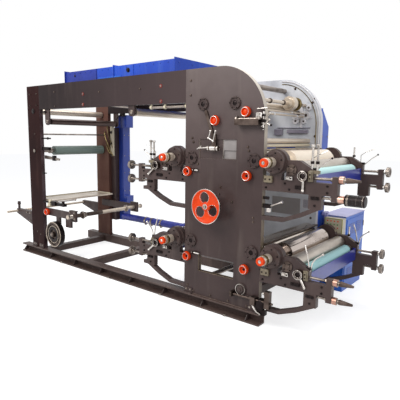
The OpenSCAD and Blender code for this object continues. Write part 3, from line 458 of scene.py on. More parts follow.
def engraved(name, base, dark):
    """Engraved chrome: a fine crossed hatch over turned metal."""
    gloss = 0.3
    f = Finish(name, 1.0, gloss)
    hatch = f.add("ShaderNodeTexWave", bands_direction="DIAGONAL", Scale=260.0, Distortion=0.0)
    f.join(f.stretched((1, 1, 1)), hatch.inputs["Vector"])
    stain = f.ramp(f.noise(5.0, 4.0, (1, 0.4, 1)), 0.4, 0.75)
    colour = f.mix(f.maths("MULTIPLY", stain, 0.5), base, dark)
    f.bump(hatch.outputs["Fac"], 0.25, 0.0004)
    return f.done(colour, f.scaled(stain, 0.16, gloss))


PAINT_BASE, PAINT_SHADE, PAINT_WORN = (68, 54, 52), (53, 40, 39), (140, 128, 118)
# Colours of the painted highlight on plate edges, at their foot and at their top
EDGE_SHEEN_LOW, EDGE_SHEEN_HIGH = (112, 98, 82), (214, 204, 190)
MACHINE_PAINT = enamel("machine_paint", PAINT_BASE, PAINT_SHADE, PAINT_WORN, 0.4, 0.5, 0.06, 0.22)
TOWER_PAINT = plate_enamel("tower_paint", PAINT_BASE, PAINT_SHADE, PAINT_WORN, EDGE_SHEEN_LOW, EDGE_SHEEN_HIGH)
# The rear plate's edges take a paler painted highlight
REAR_PLATE = plate_enamel("pale_inner_side", PAINT_BASE, PAINT_SHADE, PAINT_WORN, (196, 192, 196),
    (226, 222, 222), (204, 206, 210), (156, 158, 164))
# Last colour of each post: tone of its side towards the bay, painted light on the front post, painted shade
# on the rear post
POST_PAINT = post_enamel("post_paint", (42, 20, 19), (32, 14, 14), (104, 76, 68), (92, 76, 78))
REAR_POST = post_enamel("rear_post_paint", (112, 80, 70), (88, 60, 52), (150, 130, 112), (86, 60, 54))
RAIL_PAINT = enamel("rail_paint", (88, 72, 67), (68, 54, 50), (158, 138, 128), 0.42, 0.6, 0.06, 0.22)
STATION_PAINT = enamel("station_paint", (76, 61, 58), (58, 45, 43), (146, 134, 124), 0.4, 0.5, 0.06, 0.24)
BEAM_PAINT = beam_enamel("beam_paint")
BLUE = enamel("blue_enamel", (38, 66, 160), (28, 50, 132), (110, 130, 180), 0.3, 0.3)
DEEP_BLUE = enamel("deep_blue_enamel", (40, 52, 146), (28, 38, 116), (90, 100, 160), 0.3, 0.3)
LIGHT_BLUE = enamel("light_blue_enamel", (26, 100, 200), (20, 80, 182), (120, 160, 214), 0.34, 0.3, 0.1, 0.35)
GUARD_BLUE = guard_enamel("guard_blue_enamel")
HOOD_BLUE = hood_enamel("hood_blue_enamel")
CHROME = turned_metal("chrome_plate", (196, 184, 176), (128, 108, 96), 0.14)
CREAM_CHROME = turned_metal("cream_printing_plate", (242, 228, 208), (206, 182, 160), 0.3, 900.0, 0.12, 0.25)
SHAFT_CHROME = turned_metal("shaft_chrome", (214, 204, 194), (140, 122, 110), 0.16)
SALMON = steel("salmon_bronze", (206, 164, 146), (140, 100, 86), 0.34)
ANILOX_FACE = engraved("engraved_chrome", (206, 198, 188), (136, 122, 110))
GREEN_RUBBER = rubber("green_rubber", (158, 202, 202), (118, 168, 170), -0.421, 0.421)
PALE_RUBBER = rubber("pale_green_rubber", (190, 226, 222), (150, 196, 194), -0.421, 0.421)
GREY_RUBBER = rubber("grey_rubber", (122, 138, 128), (94, 110, 102), -0.301, 0.511)
BRIGHT = steel("bright_steel", (158, 148, 140), (98, 86, 78), 0.32)
POLISHED = steel("polished_steel", (206, 200, 194), (122, 112, 104), 0.22)
DARK_STEEL = steel("dark_steel", (92, 80, 74), (54, 44, 40), 0.4)
BLACK_OXIDE = steel("black_oxide", (44, 38, 38), (24, 20, 20), 0.38)
BRONZE = steel("olive_bronze", (124, 108, 74), (78, 66, 44), 0.34)
ORANGE = moulded("orange_plastic", (224, 66, 10), (176, 40, 8), 0.42, 0.22)
DEEP_RED = moulded("deep_red_plastic", (120, 22, 12), (74, 12, 8), 0.35)
BLACK_PLASTIC = moulded("black_plastic", (30, 28, 30), (16, 15, 16), 0.35)
RED_BUTTON = moulded("red_button", (200, 44, 34), (150, 24, 20), 0.28)
GREEN_BUTTON = moulded("green_button", (60, 140, 60), (34, 98, 40), 0.28)
CREAM = turned_metal("cream_tube", (206, 192, 174), (150, 132, 116), 0.3, 700.0, 0.1, 0.5)
GUIDE_TUBES = guide_roller_metal("guide_tubes")
CREAM_PAINT = enamel("cream_paint", (206, 196, 170), (176, 164, 138), (120, 108, 92), 0.42, 0.4)
PALE_PAINT = enamel("pale_paint", (222, 220, 220), (186, 184, 188), (140, 134, 130), 0.4, 0.4)
LAVENDER = enamel("lavender_paint", (160, 158, 200), (126, 124, 176), (110, 106, 140), 0.36, 0.3)
WINDOW_GREY = enamel("window_grey", (156, 150, 148), (130, 124, 122), (170, 166, 160), 0.42, 0.4, 0.06, 0.3)
LAVENDER_GREY = enamel("lavender_grey_paint", (140, 134, 146), (108, 102, 116), (170, 166, 170), 0.4, 0.4,
    0.06, 0.3)
OLIVE_YELLOW = enamel("olive_yellow_paint", (168, 164, 84), (134, 130, 62), (110, 104, 70), 0.42, 0.4)
KHAKI = enamel("khaki_paint", (128, 116, 92), (96, 84, 66), (160, 150, 130), 0.42, 0.5)
BOX_GREY = enamel("box_enamel", (190, 180, 156), (166, 154, 130), (120, 108, 96), 0.4, 0.3)

NODE_FINISH = {"front_tower_plate": TOWER_PAINT, "rear_tower_plate": REAR_PLATE, "front_post": POST_PAINT,
    "rear_post": REAR_POST, "drying_hood": HOOD_BLUE, "column_guard": BLUE, "line_shaft_guard": DEEP_BLUE,
    "gear_guard": GUARD_BLUE, "electrical_cabinet": LIGHT_BLUE, "control_box": BOX_GREY, "handwheel": ORANGE,
    "pressure_knobs": ORANGE, "pull_roller": GREY_RUBBER, "web_guide_rollers": GUIDE_TUBES,
    "upper_web_rollers": CREAM, "web_table": CREAM, "cross_ties": BRIGHT, "impression_rollers": SHAFT_CHROME,
    "plate_cylinder_2": CREAM_CHROME, "plate_cylinder_3": CREAM_CHROME, "fountain_roller_2": PALE_RUBBER,
    "fountain_roller_3": PALE_RUBBER, "unwind_shaft": CREAM, "front_base_rail": RAIL_PAINT,
    "rear_base_rail": RAIL_PAINT, "base_members": RAIL_PAINT, "front_top_beam": BEAM_PAINT,
    "rear_top_beam": BEAM_PAINT, "tension_wheel": DARK_STEEL, "adjusting_screws": BRIGHT,
    "pressure_levers": DARK_STEEL, "flat_bars": BRIGHT, "operator_brackets": DARK_STEEL,
    "bearing_rings": MACHINE_PAINT}
FAMILY_FINISH = {"plate_cylinder": CHROME, "anilox_roller": ANILOX_FACE, "fountain_roller": GREEN_RUBBER,
    "ink_tray": DEEP_BLUE, "station_frame": STATION_PAINT}

SLOT_FINISHES = {"machine_paint": (MACHINE_PAINT, TOWER_PAINT, KHAKI, WINDOW_GREY),
    "blue_paint": (BLUE, DEEP_BLUE, LIGHT_BLUE, HOOD_BLUE, LAVENDER),
    "cream_steel": (CREAM, CREAM_PAINT, PALE_PAINT), "box_grey": (BOX_GREY, OLIVE_YELLOW, LAVENDER_GREY),
    "orange_plastic": (ORANGE, RED_BUTTON, GREEN_BUTTON),}
SLOT_OF = {finish.name: slot for slot, finishes in SLOT_FINISHES.items() for finish in finishes}


def dress_frame():
    """Gives each CAD node its own finish, or else its family's, or else machine paint."""
    for name, obj in NODES.items():
        family = name.rstrip("0123456789").rstrip("_")
        finish = NODE_FINISH.get(name) or FAMILY_FINISH.get(family) or MACHINE_PAINT
        obj.data.materials.clear()
        obj.data.materials.append(finish)


# ---------------------------------------------------------------- forms
def finished_piece(mesh, name, finish, body, slot=None):
    """Closes a mesh with outward faces and soft shading, and hands it over to its body."""
    work = bmesh.new()
    work.from_mesh(mesh)
    bmesh.ops.recalc_face_normals(work, faces=work.faces)
    work.to_mesh(mesh)
    work.free()
    mesh.shade_smooth()
    mesh.set_sharp_from_angle(angle=SHARP_ANGLE)
    mesh.materials.clear()
    mesh.materials.append(finish)
    piece = placed(name, mesh)
    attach(piece, body)
    slot = slot or SLOT_OF.get(finish.name, "bright_steel")
    return piece


def rect(x0, z0, x1, z1):
    """Outline of a rectangle between two corners."""
    return [(x0, z0), (x1, z0), (x1, z1), (x0, z1)]


SHARP_ANGLE = radians(32)


class Form:
    """Gathers turned, drawn and cut shapes into the mesh of one piece."""

    def __init__(self):
        self.points = []
        self.faces = []

    def put(self, points, faces):
        first = len(self.points)
        self.points += [tuple(p) for p in points]
        self.faces += [[first + i for i in face] for face in faces]
        return self

    def turn(self, foot, axis, profile, sides=28, closed=False):
        """Turns a profile of (radius, height) pairs about the axis through foot."""
        foot, axis = Vector(foot), Vector(axis).normalized()
        u = axis.orthogonal().normalized()
        v = axis.cross(u)
        points, rings, faces = [], [], []
        for radius, height in profile:
            count = 1 if radius < 1e-6 else sides
            rings.append([len(points) + i for i in range(count)])
            for i in range(count):
                a = tau * i / sides
                points.append(foot + height * axis + radius * (cos(a) * u + sin(a) * v))
        pairs = list(zip(rings, rings[1:])) + ([(rings[-1], rings[0])] if closed else [])
        for low, high in pairs:
            for i in range(sides):
                j = (i + 1) % sides
                loop = [low[i % len(low)], low[j % len(low)], high[j % len(high)], high[i % len(high)]]
                loop = list(dict.fromkeys(loop))
                if len(loop) > 2:
                    faces.append(loop)
        return self.put(points, faces)

    def rod(self, start, end, radius, sides=16):
        """A round rod with chamfered ends."""
        start, end = Vector(start), Vector(end)
        length = (end - start).length
        c = 0.15 * radius
        return self.turn(start, end - start, [(0, 0), (radius - c, 0), (radius, c), (radius, length - c),
            (radius - c, length), (0, length)], sides)

    def rods(self, y, lines):
        """Rods at the depth y, each from x0, z0 to x1, z1 and with its radius."""
        for x0, z0, x1, z1, radius in lines:
            self.rod((x0, y, z0), (x1, y, z1), radius)

    def ring(self, centre, axis, radius, wire, sides=32, section=8):
        steps = [tau * i / section for i in range(section)]
        return self.turn(centre, axis, [(radius + wire * cos(a), wire * sin(a)) for a in steps], sides, True)

    def sleeve(self, foot, axis, inner, outer, length, sides=28):
        """A tube with its outer edges broken."""
        soft = 0.0012
        return self.turn(foot, axis, [(inner, 0), (outer - soft, 0), (outer, soft), (outer, length - soft),
            (outer - soft, length), (inner, length)], sides, True)

    def ball(self, centre, radius):
        steps = [pi * i / 8 for i in range(9)]
        profile = [(radius * sin(a) if 0 < i < 8 else 0, -radius * cos(a)) for i, a in enumerate(steps)]
        return self.turn(centre, UP, profile, 16)

    def block(self, low, high, edge=0.0015):
        """A block with chamfered edges."""
        low, high = ([min(a, b) for a, b in zip(low, high)], [max(a, b) for a, b in zip(low, high)])
        signs = [(i, j, k) for i in (0, 1) for j in (0, 1) for k in (0, 1)]
        points, index = [], {}
        for full in range(3):
            for corner in signs:
                place = []
                for a in range(3):
                    inset = 0 if a == full else edge
                    place.append(high[a] - inset if corner[a] else low[a] + inset)
                index[full, corner] = len(points)
                points.append(place)
        faces = []
        for a in range(3):
            b, c = (a + 1) % 3, (a + 2) % 3
            for s in (0, 1):
                loop = []
                for t, u in ((0, 0), (1, 0), (1, 1), (0, 1)):
                    corner = [0, 0, 0]
                    corner[a], corner[b], corner[c] = s, t, u
                    loop.append(index[a, tuple(corner)])
                faces.append(loop)
                for t in (0, 1):
                    loop = []
                    for face, u in ((a, 0), (a, 1), (b, 1), (b, 0)):
                        corner = [0, 0, 0]
                        corner[a], corner[b], corner[c] = s, t, u
                        loop.append(index[face, tuple(corner)])
                    faces.append(loop)
        faces += [[index[0, corner], index[1, corner], index[2, corner]] for corner in signs]
        return self.put(points, faces)

    def pads(self, y, areas):
        """Blocks that stand out to the front from the face at y, each with its area, depth and edge."""
        for x0, z0, x1, z1, depth, edge in areas:
            self.block((x0, y - depth, z0), (x1, y, z1), edge)

    def slab(self, outline, plane, near, far, edge=0.0012):
        """A plate of the outline in the plane xz, xy or yz, between two depths, with broken edges."""
        def place(p, depth):
            return {"xz": (p[0], depth, p[1]), "xy": (p[0], p[1], depth), "yz": (depth, p[0], p[1])}[plane]

        count = len(outline)
        area = sum(a[0] * b[1] - b[0] * a[1] for a, b in zip(outline, outline[1:] + outline[:1]))
        inner = []
        for i in range(count):
            before, here, after = (Vector(outline[k % count]) for k in (i - 1, i, i + 1))
            d1, d2 = (here - before).normalized(), (after - here).normalized()
            n1, n2 = Vector((-d1.y, d1.x)), Vector((-d2.y, d2.x))
            miter = (n1 + n2) / max(0.4, 1 + n1.dot(n2))
            inner.append(here + (edge if area > 0 else -edge) * miter)
        step = edge if far > near else -edge
        points = [place(p, near) for p in inner] + [place(p, near + step) for p in outline]
        points += [place(p, far - step) for p in outline] + [place(p, far) for p in inner]
        faces = [list(range(count)), [3 * count + i for i in range(count)]]
        for layer in range(3):
            for i in range(count):
                j = (i + 1) % count
                faces.append([layer * count + i, layer * count + j, (layer + 1) * count + j,
                    (layer + 1) * count + i])
        return self.put(points, faces)

    def bent(self, path, radius, sides=10):
        """A bent rod of even thickness along a path of points."""
        path = [Vector(p) for p in path]
        points, faces = [], []
        side = None
        for i, here in enumerate(path):
            ahead = (path[min(i + 1, len(path) - 1)] - path[max(i - 1, 0)]).normalized()
            side = ahead.orthogonal() if side is None else side - side.dot(ahead) * ahead
            side = side.normalized()
            other = ahead.cross(side)
            for k in range(sides):
                a = tau * k / sides
                points.append(here + radius * (cos(a) * side + sin(a) * other))
        for i in range(len(path) - 1):
            for k in range(sides):
                m = (k + 1) % sides
                faces.append([i * sides + k, i * sides + m, (i + 1) * sides + m, (i + 1) * sides + k])
        last = (len(path) - 1) * sides
        faces += [list(range(sides)), [last + k for k in range(sides)]]
        return self.put(points, faces)

    def done(self, name, finish, body="root", slot=None):
        mesh = bpy.data.meshes.new(name)
        mesh.from_pydata(self.points, [], self.faces)
        return finished_piece(mesh, name, finish, body, slot)


class Pattern:
    """A geometry node tree that sets one small form on many spots, with its sizes as named inputs."""

    def __init__(self, name, sizes):
        self.labels = list(sizes)
        self.tree = bpy.data.node_groups.new(name, "GeometryNodeTree")
        self.tree.is_modifier = True
        sockets = self.tree.interface
        sockets.new_socket("Geometry", in_out="INPUT", socket_type="NodeSocketGeometry")
        for label, value in sizes.items():
            kind = "NodeSocketInt" if isinstance(value, int) else "NodeSocketFloat"
            sockets.new_socket(label, in_out="INPUT", socket_type=kind).default_value = value
        sockets.new_socket("Finish", in_out="INPUT", socket_type="NodeSocketMaterial")
        sockets.new_socket("Geometry", in_out="OUTPUT", socket_type="NodeSocketGeometry")
        self.given = self.tree.nodes.new("NodeGroupInput").outputs

    def add(self, kind, inputs=None, **settings):
        node = self.tree.nodes.new(kind)
        for key, value in settings.items():
            setattr(node, key, value)
        for key, value in (inputs or {}).items():
            if isinstance(value, bpy.types.NodeSocket):
                self.tree.links.new(value, node.inputs[key])
            else:
                node.inputs[key].default_value = value
        return node

    def maths(self, operation, a, b):
        return self.add("ShaderNodeMath", {0: a, 1: b}, operation=operation).outputs[0]

    def moved(self, mesh, height):
        """The mesh lifted along Z."""
        lift = self.add("ShaderNodeCombineXYZ", {"Z": height}).outputs[0]
        return self.add("GeometryNodeTransform", {"Geometry": mesh, "Translation": lift}).outputs[0]

    def joined(self, *meshes):
        node = self.add("GeometryNodeJoinGeometry")
        for mesh in meshes:
            self.tree.links.new(mesh, node.inputs[0])
        return node.outputs[0]

    def column(self, sides, radius, height, foot, top=1.0):
        """A prism or cone that stands on the height foot."""
        top_radius = self.maths("MULTIPLY", radius, top)
        cone = self.add("GeometryNodeMeshCone", {"Vertices": sides, "Radius Top": top_radius,
            "Radius Bottom": radius, "Depth": height})
        return self.moved(cone.outputs[0], foot)

    def torus(self, radius, wire, sides):
        path = self.add("GeometryNodeCurvePrimitiveCircle", {"Resolution": sides, "Radius": radius})
        profile = self.add("GeometryNodeCurvePrimitiveCircle", {"Resolution": 4, "Radius": wire})
        return self.add("GeometryNodeCurveToMesh",
            {"Curve": path.outputs[0], "Profile Curve": profile.outputs[0]}).outputs[0]

    def on_spots(self, form, spin=0.0):
        """Sets the form on each spot, turned to its facing and grown to its size, and ends the tree."""
        facing = self.add("GeometryNodeInputNamedAttribute", {"Name": "facing"},
            data_type="FLOAT_VECTOR").outputs[0]
        size = self.add("GeometryNodeInputNamedAttribute", {"Name": "size"}, data_type="FLOAT").outputs[0]
        turn = self.add("FunctionNodeAlignRotationToVector", {"Vector": facing}, axis="Z").outputs[0]
        if spin:
            angle = self.add("FunctionNodeRandomValue", data_type="FLOAT")
            angle.inputs[3].default_value = spin
            angle.inputs["Seed"].default_value = 5
            about = self.add("ShaderNodeCombineXYZ", {"Z": angle.outputs[1]}).outputs[0]
            own = self.add("FunctionNodeEulerToRotation", {"Euler": about}).outputs[0]
            turn = self.add("FunctionNodeRotateRotation", {"Rotation": turn, "Rotate By": own},
                rotation_space="LOCAL").outputs[0]
        spots = self.add("GeometryNodeInstanceOnPoints",
            {"Points": self.given["Geometry"], "Instance": form, "Rotation": turn, "Scale": size})
        real = self.add("GeometryNodeRealizeInstances", {"Geometry": spots.outputs[0]})
        skin = self.add("GeometryNodeSetMaterial",
            {"Geometry": real.outputs[0], "Material": self.given["Finish"]})
        self.add("NodeGroupOutput", {0: skin.outputs[0]})

    def grow(self, name, spots, sizes, finish, body="root"):
        """Grows the pattern on (place, facing, size) spots and keeps the result as one plain mesh.

        The sizes are those that the pattern was made with, in the same order.
        """
        values = dict(zip(self.labels, sizes, strict=True), Finish=finish)
        seed = bpy.data.meshes.new(name)
        seed.from_pydata([tuple(s[0]) for s in spots], [], [])
        seed.attributes.new("facing", "FLOAT_VECTOR", "POINT")
        seed.attributes.new("size", "FLOAT", "POINT")
        for i, spot in enumerate(spots):
            seed.attributes["facing"].data[i].vector = spot[1]
            seed.attributes["size"].data[i].value = spot[2]
        grower = placed(name + "_spots", seed)
        modifier = grower.modifiers.new(self.tree.name, "NODES")
        modifier.node_group = self.tree
        for item in self.tree.interface.items_tree:
            if item.in_out == "INPUT" and item.name in values:
                modifier[item.identifier] = values[item.name]
        view = bpy.context.evaluated_depsgraph_get()
        mesh = bpy.data.meshes.new_from_object(grower.evaluated_get(view), depsgraph=view)
        grower.modifiers.remove(modifier)
        bpy.data.objects.remove(grower)
        mesh.name = name
        return finished_piece(mesh, name, finish, body)


def hex_bolt_pattern():
    """Hexagon head with a crowned top on a round washer."""
    p = Pattern("hex_bolts", {"Head radius": 0.01, "Head height": 0.007, "Washer radius": 0.013})
    washer_t = p.maths("MULTIPLY", p.given["Head height"], 0.2)
    crown_t = p.maths("MULTIPLY", p.given["Head height"], 0.15)
    top = p.maths("ADD", washer_t, p.given["Head height"])
    washer = p.column(18, p.given["Washer radius"], washer_t, 0.0, 0.96)
    head = p.column(6, p.given["Head radius"], p.given["Head height"], washer_t)
    crown = p.column(18, p.maths("MULTIPLY", p.given["Head radius"], 0.86), crown_t, top, 0.8)
    p.on_spots(p.joined(washer, head, crown), 1.05)
    return p


def cap_screw_pattern():
    """Round head with a chamfer and a hexagon socket."""
    p = Pattern("cap_screws", {"Head radius": 0.008, "Head height": 0.006})
    r, h = p.given["Head radius"], p.given["Head height"]
    body = p.column(16, r, p.maths("MULTIPLY", h, 0.85), 0.0)
    collar = p.column(16, r, p.maths("MULTIPLY", h, 0.15), p.maths("MULTIPLY", h, 0.85), 0.88)
    rim = p.moved(p.torus(p.maths("MULTIPLY", r, 0.7), p.maths("MULTIPLY", r, 0.16), 12), h)
    p.on_spots(p.joined(body, collar, rim), 1.05)
    return p


def stacked_ring_pattern():
    """A row of rings from each spot on, as on a screw's thread or a ribbed grip."""
    p = Pattern("stacked_rings", {"Ring radius": 0.01, "Wire radius": 0.001, "Pitch": 0.004, "Count": 10})
    step = p.add("ShaderNodeCombineXYZ", {"Z": p.given["Pitch"]}).outputs[0]
    line = p.add("GeometryNodeMeshLine", {"Count": p.given["Count"], "Offset": step}).outputs[0]
    ring = p.torus(p.given["Ring radius"], p.given["Wire radius"], 16)
    p.on_spots(p.add("GeometryNodeInstanceOnPoints", {"Points": line, "Instance": ring}).outputs[0])
    return p


def rib_crown_pattern():
    """Short ribs round a rim, as on a knurled knob."""
    p = Pattern("rib_crowns", {"Crown radius": 0.04, "Rib width": 0.003, "Rib length": 0.02, "Ribs": 36})
    circle = p.add("GeometryNodeMeshCircle", {"Vertices": p.given["Ribs"],
        "Radius": p.given["Crown radius"]}).outputs[0]
    size = p.add("ShaderNodeCombineXYZ", {"X": p.given["Rib width"], "Y": p.given["Rib width"],
        "Z": p.given["Rib length"]}).outputs[0]
    rib = p.add("GeometryNodeMeshCube", {"Size": size}).outputs[0]
    outward = p.add("GeometryNodeInputPosition").outputs[0]
    turn = p.add("FunctionNodeAlignRotationToVector", {"Vector": outward}, axis="X").outputs[0]
    p.on_spots(p.add("GeometryNodeInstanceOnPoints",
        {"Points": circle, "Instance": rib, "Rotation": turn}).outputs[0])
    return p


def grid_pattern():
    """A field of small bars or pads in rows, as on a louvre or a button panel."""
    p = Pattern("pad_grids", {"Step across": 0.02, "Step up": 0.02, "Across": 4, "Up": 4, "Pad width": 0.01,
        "Pad height": 0.01, "Pad depth": 0.004})
    pairs = (("Step across", "Across"), ("Step up", "Up"))
    spans = [p.maths("MULTIPLY", p.given[step], p.maths("SUBTRACT", p.given[count], 1.0))
        for step, count in pairs]
    grid = p.add("GeometryNodeMeshGrid", {"Size X": spans[0], "Size Y": spans[1],
        "Vertices X": p.given["Across"], "Vertices Y": p.given["Up"]}).outputs[0]
    size = p.add("ShaderNodeCombineXYZ", {"X": p.given["Pad width"], "Y": p.given["Pad height"],
        "Z": p.given["Pad depth"]}).outputs[0]
    pad = p.add("GeometryNodeMeshCube", {"Size": size}).outputs[0]
    p.on_spots(p.add("GeometryNodeInstanceOnPoints", {"Points": grid, "Instance": pad}).outputs[0])
    return p


HEX_BOLTS = hex_bolt_pattern()
CAP_SCREWS = cap_screw_pattern()
STACKED_RINGS = stacked_ring_pattern()
RIB_CROWNS = rib_crown_pattern()
PAD_GRIDS = grid_pattern()


def circle_spots(centre, radius, count, size=1.0, start=0.0):
    """Spots round a centre in a plane across Y, which face the operator."""
    spots = []
    for i in range(count):
        a = start + tau * i / count
        spots.append(((centre[0] + radius * cos(a), centre[1], centre[2] + radius * sin(a)), FRONT, size))
    return spots


def wall_spots(places, y, facing):
    """Spots of full size at places in x and z on a wall across Y."""
    return [((x, y, z), facing, 1.0) for x, z in places]


# ---------------------------------------------------------------- frame fasteners
def fasten_frame():
    """Bolts of beams, posts, tower and rails on the operator side, and their like on the drive side."""
    beam = [(-2.508, 2.105), (-1.66, 2.064), (-1.022, 2.061), (-2.498, 1.935)]
    post = [(-2.964, 1.601), (-2.986, 0.322), (-2.916, 0.292), (-3.05, 2.1), (-2.9, 2.1), (-3.05, 1.96),
        (-2.9, 1.96)]
    tower = [(-0.336, 1.588), (-0.322, 1.552), (-0.266, 1.354), (-0.398, 1.3), (-0.008, 1.164), (-0.022, 1.1),
        (0.118, 1.043), (0.336, 0.93), (0.338, 0.896), (-0.376, 0.183), (0.266, 1.522), (0.276, 1.49),
        (-0.36, 2.1), (-0.36, 1.97), (-0.3, 0.14), (-0.1, 0.14), (0.1, 0.14), (0.3, 0.14)]
    spots = wall_spots(beam + post + tower, -OUTER_Y, FRONT)
    spots += wall_spots(beam + post + [p for p in tower if p[0] < -0.39 or p[1] > 1.95], OUTER_Y, BACK)
    HEX_BOLTS.grow("frame_bolts", spots, (0.0095, 0.006, 0.0125), DARK_STEEL)
    ringed = [(-1.944, 2.055), (-1.948, 1.94), (-0.734, 2.074), (-0.732, 1.93)]
    form = Form()
    for x, z in ringed:
        form.sleeve((x, -OUTER_Y, z), FRONT, 0.009, 0.0185, 0.004)
    form.done("reddish_bolt_plates", DEEP_RED)
    HEX_BOLTS.grow("bright_bolts", wall_spots(ringed, -OUTER_Y - 0.002, FRONT), (0.008, 0.006, 0.01), BRIGHT)
    anchors = [((x, side * 0.62, 0.014), UP, 1.0) for side in (-1, 1) for x in (-3.25, -2.4, -1.5, -0.7, 0.1)]
    HEX_BOLTS.grow("anchor_bolts", anchors, (0.013, 0.011, 0.0165), BRIGHT)
    rows = [(side, x, 0.11) for side in (-1, 1) for x in (-3.05, -2.9, -0.36, 0.36)]
    feet = Form()
    for side, x, z in rows:
        feet.slab(rect(x - 0.045, z, x + 0.045, z + 0.055), "xz", side * OUTER_Y, side * (OUTER_Y + 0.009))
        feet.block((x - 0.045, side * OUTER_Y, z), (x + 0.045, side * (OUTER_Y + 0.024), z + 0.009))
    feet.done("foot_angles", MACHINE_PAINT)
    angle_bolts = [((x + dx, side * (OUTER_Y + 0.009), z + 0.034), (0, side, 0), 1.0) for side, x, z in rows
        for dx in (-0.024, 0.024)]
    HEX_BOLTS.grow("angle_bolts", angle_bolts, (0.008, 0.005, 0.0105), BRIGHT)


def trim_rails():
    """Weld beads along the rails' feet and gusset ribs in the channels."""
    form = Form()
    for side in (-1, 1):
        for x in (-3.32, -2.7, -2.2, -1.7, -1.2, -0.7, -0.2, 0.3):
            form.slab([(side * 0.518, 0.015), (side * 0.6, 0.015), (side * 0.536, 0.095),
                (side * 0.518, 0.095)], "yz", x - 0.004, x + 0.004)
    form.done("rail_ribs", MACHINE_PAINT)
    beads = Form()
    for side in (-1, 1):
        for x0, x1 in ((POST_X, POST_INNER_X), (-TOWER_HALF, TOWER_HALF)):
            beads.rod((x0 + 0.01, side * OUTER_Y, 0.111), (x1 - 0.01, side * OUTER_Y, 0.111), 0.004, 6)
            beads.rod((x0 + 0.01, side * FACE_Y, 0.111), (x1 - 0.01, side * FACE_Y, 0.111), 0.004, 6)
    beads.done("weld_beads", DARK_STEEL, slot="machine_paint")


# ---------------------------------------------------------------- knobs, handwheel and shaft ends
def dress_knobs():
    """Polished ring as a painted highlight on each pressure knob's rim, dark red disc as painted shade in its
    bowl, centre screw, and ribs round its rim.
    """
    rims, bowl_shade, domes, screws, ribs = Form(), Form(), Form(), [], []
    for x, z, y in [(x, z, -OUTER_Y) for x, z in KNOBS] + [(*POST_KNOB, -FACE_Y)]:
        front = y - KNOB_L
        # Polished ring at the rim's front edge, standing in for a painted highlight
        rims.ring((x, front + 0.0008, z), FRONT, KNOB_R - 0.0075, 0.0026, 36)
        if z > 1.7:
            domes.turn((x, front + 0.0226, z), FRONT,
                [(0, 0), (0.027, 0), (0.0262, 0.006), (0.02, 0.0125), (0.011, 0.0165), (0, 0.018)])
        else:
            # Dark red disc at the bowl's bottom: painted shade in the recess
            bowl_shade.turn((x, front + 0.0232, z), FRONT,
                [(0, 0), (0.0238, 0), (0.0238, 0.0012), (0.02, 0.002), (0, 0.002)])
            screws.append(((x, front + 0.0212, z), FRONT, 1.0))
        ribs.append(((x, front + 0.024, z), FRONT, 1.0))
    rims.done("knob_highlight_rings", POLISHED)
    bowl_shade.done("knob_bowl_shade", DEEP_RED, slot="orange_plastic")
    domes.done("knob_domes", ORANGE)
    HEX_BOLTS.grow("knob_screws", screws, (0.0075, 0.007, 0.011), BLACK_OXIDE)
    RIB_CROWNS.grow("knob_ribs", ribs, (KNOB_R - 0.0006, 0.0034, 0.02, 30), ORANGE)


def dress_handwheel():
    """Wheel as the photograph has it stopped, with one hole at the top, and its silver rim and hub."""
    there, back = Matrix.Translation(WHEEL), Matrix.Translation(-Vector(WHEEL))
    stopped = there @ Matrix.Rotation(radians(WHEEL_STOP), 4, "Y") @ back
    mesh = NODES["handwheel"].data.copy()
    mesh.transform(stopped)
    work = bmesh.new()
    work.from_mesh(mesh)
    bmesh.ops.remove_doubles(work, verts=work.verts, dist=1e-6)
    work.to_mesh(mesh)
    work.free()
    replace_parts(finished_piece(mesh, "three_spoke_handwheel", ORANGE, "handwheel"), "handwheel")
    form = Form()
    form.sleeve((WHEEL[0], -0.6862, WHEEL[2]), FRONT, 0.15, 0.1562, 0.0185, 72)
    form.ring(WHEEL, FRONT, WHEEL_R + 0.0086, 0.0042, 72)
    for k in range(3):
        a = radians(120 * k - WHEEL_STOP)
        centre = (WHEEL[0] + 0.5599 * WHEEL_R * cos(a), WHEEL[1] - 0.006, WHEEL[2] + 0.56 * WHEEL_R * sin(a))
        form.ring(centre, FRONT, 0.341 * WHEEL_R, 0.0016, 40, 6)
    form.sleeve((WHEEL[0], -0.708, WHEEL[2]), FRONT, 0.0185, 0.0245, 0.004)
    form.done("handwheel_trim", POLISHED, "handwheel")
    HEX_BOLTS.grow("handwheel_nut", [((WHEEL[0], -0.7105, WHEEL[2]), FRONT, 1.0)], (0.015, 0.01, 0.0175),
        BRIGHT, "handwheel")
    hub = circle_spots((WHEEL[0], -0.7015, WHEEL[2]), 0.03, 3, start=radians(60))
    CAP_SCREWS.grow("handwheel_hub_screws", hub, (0.004, 0.004), BLACK_OXIDE, "handwheel")
    RIB_CROWNS.grow("handwheel_grip_ribs", [((WHEEL[0], WHEEL[1] - 0.0098, WHEEL[2]), FRONT, 1.0)],
        (WHEEL_R - 0.002, 0.0026, 0.0022, 48), ORANGE, "handwheel")


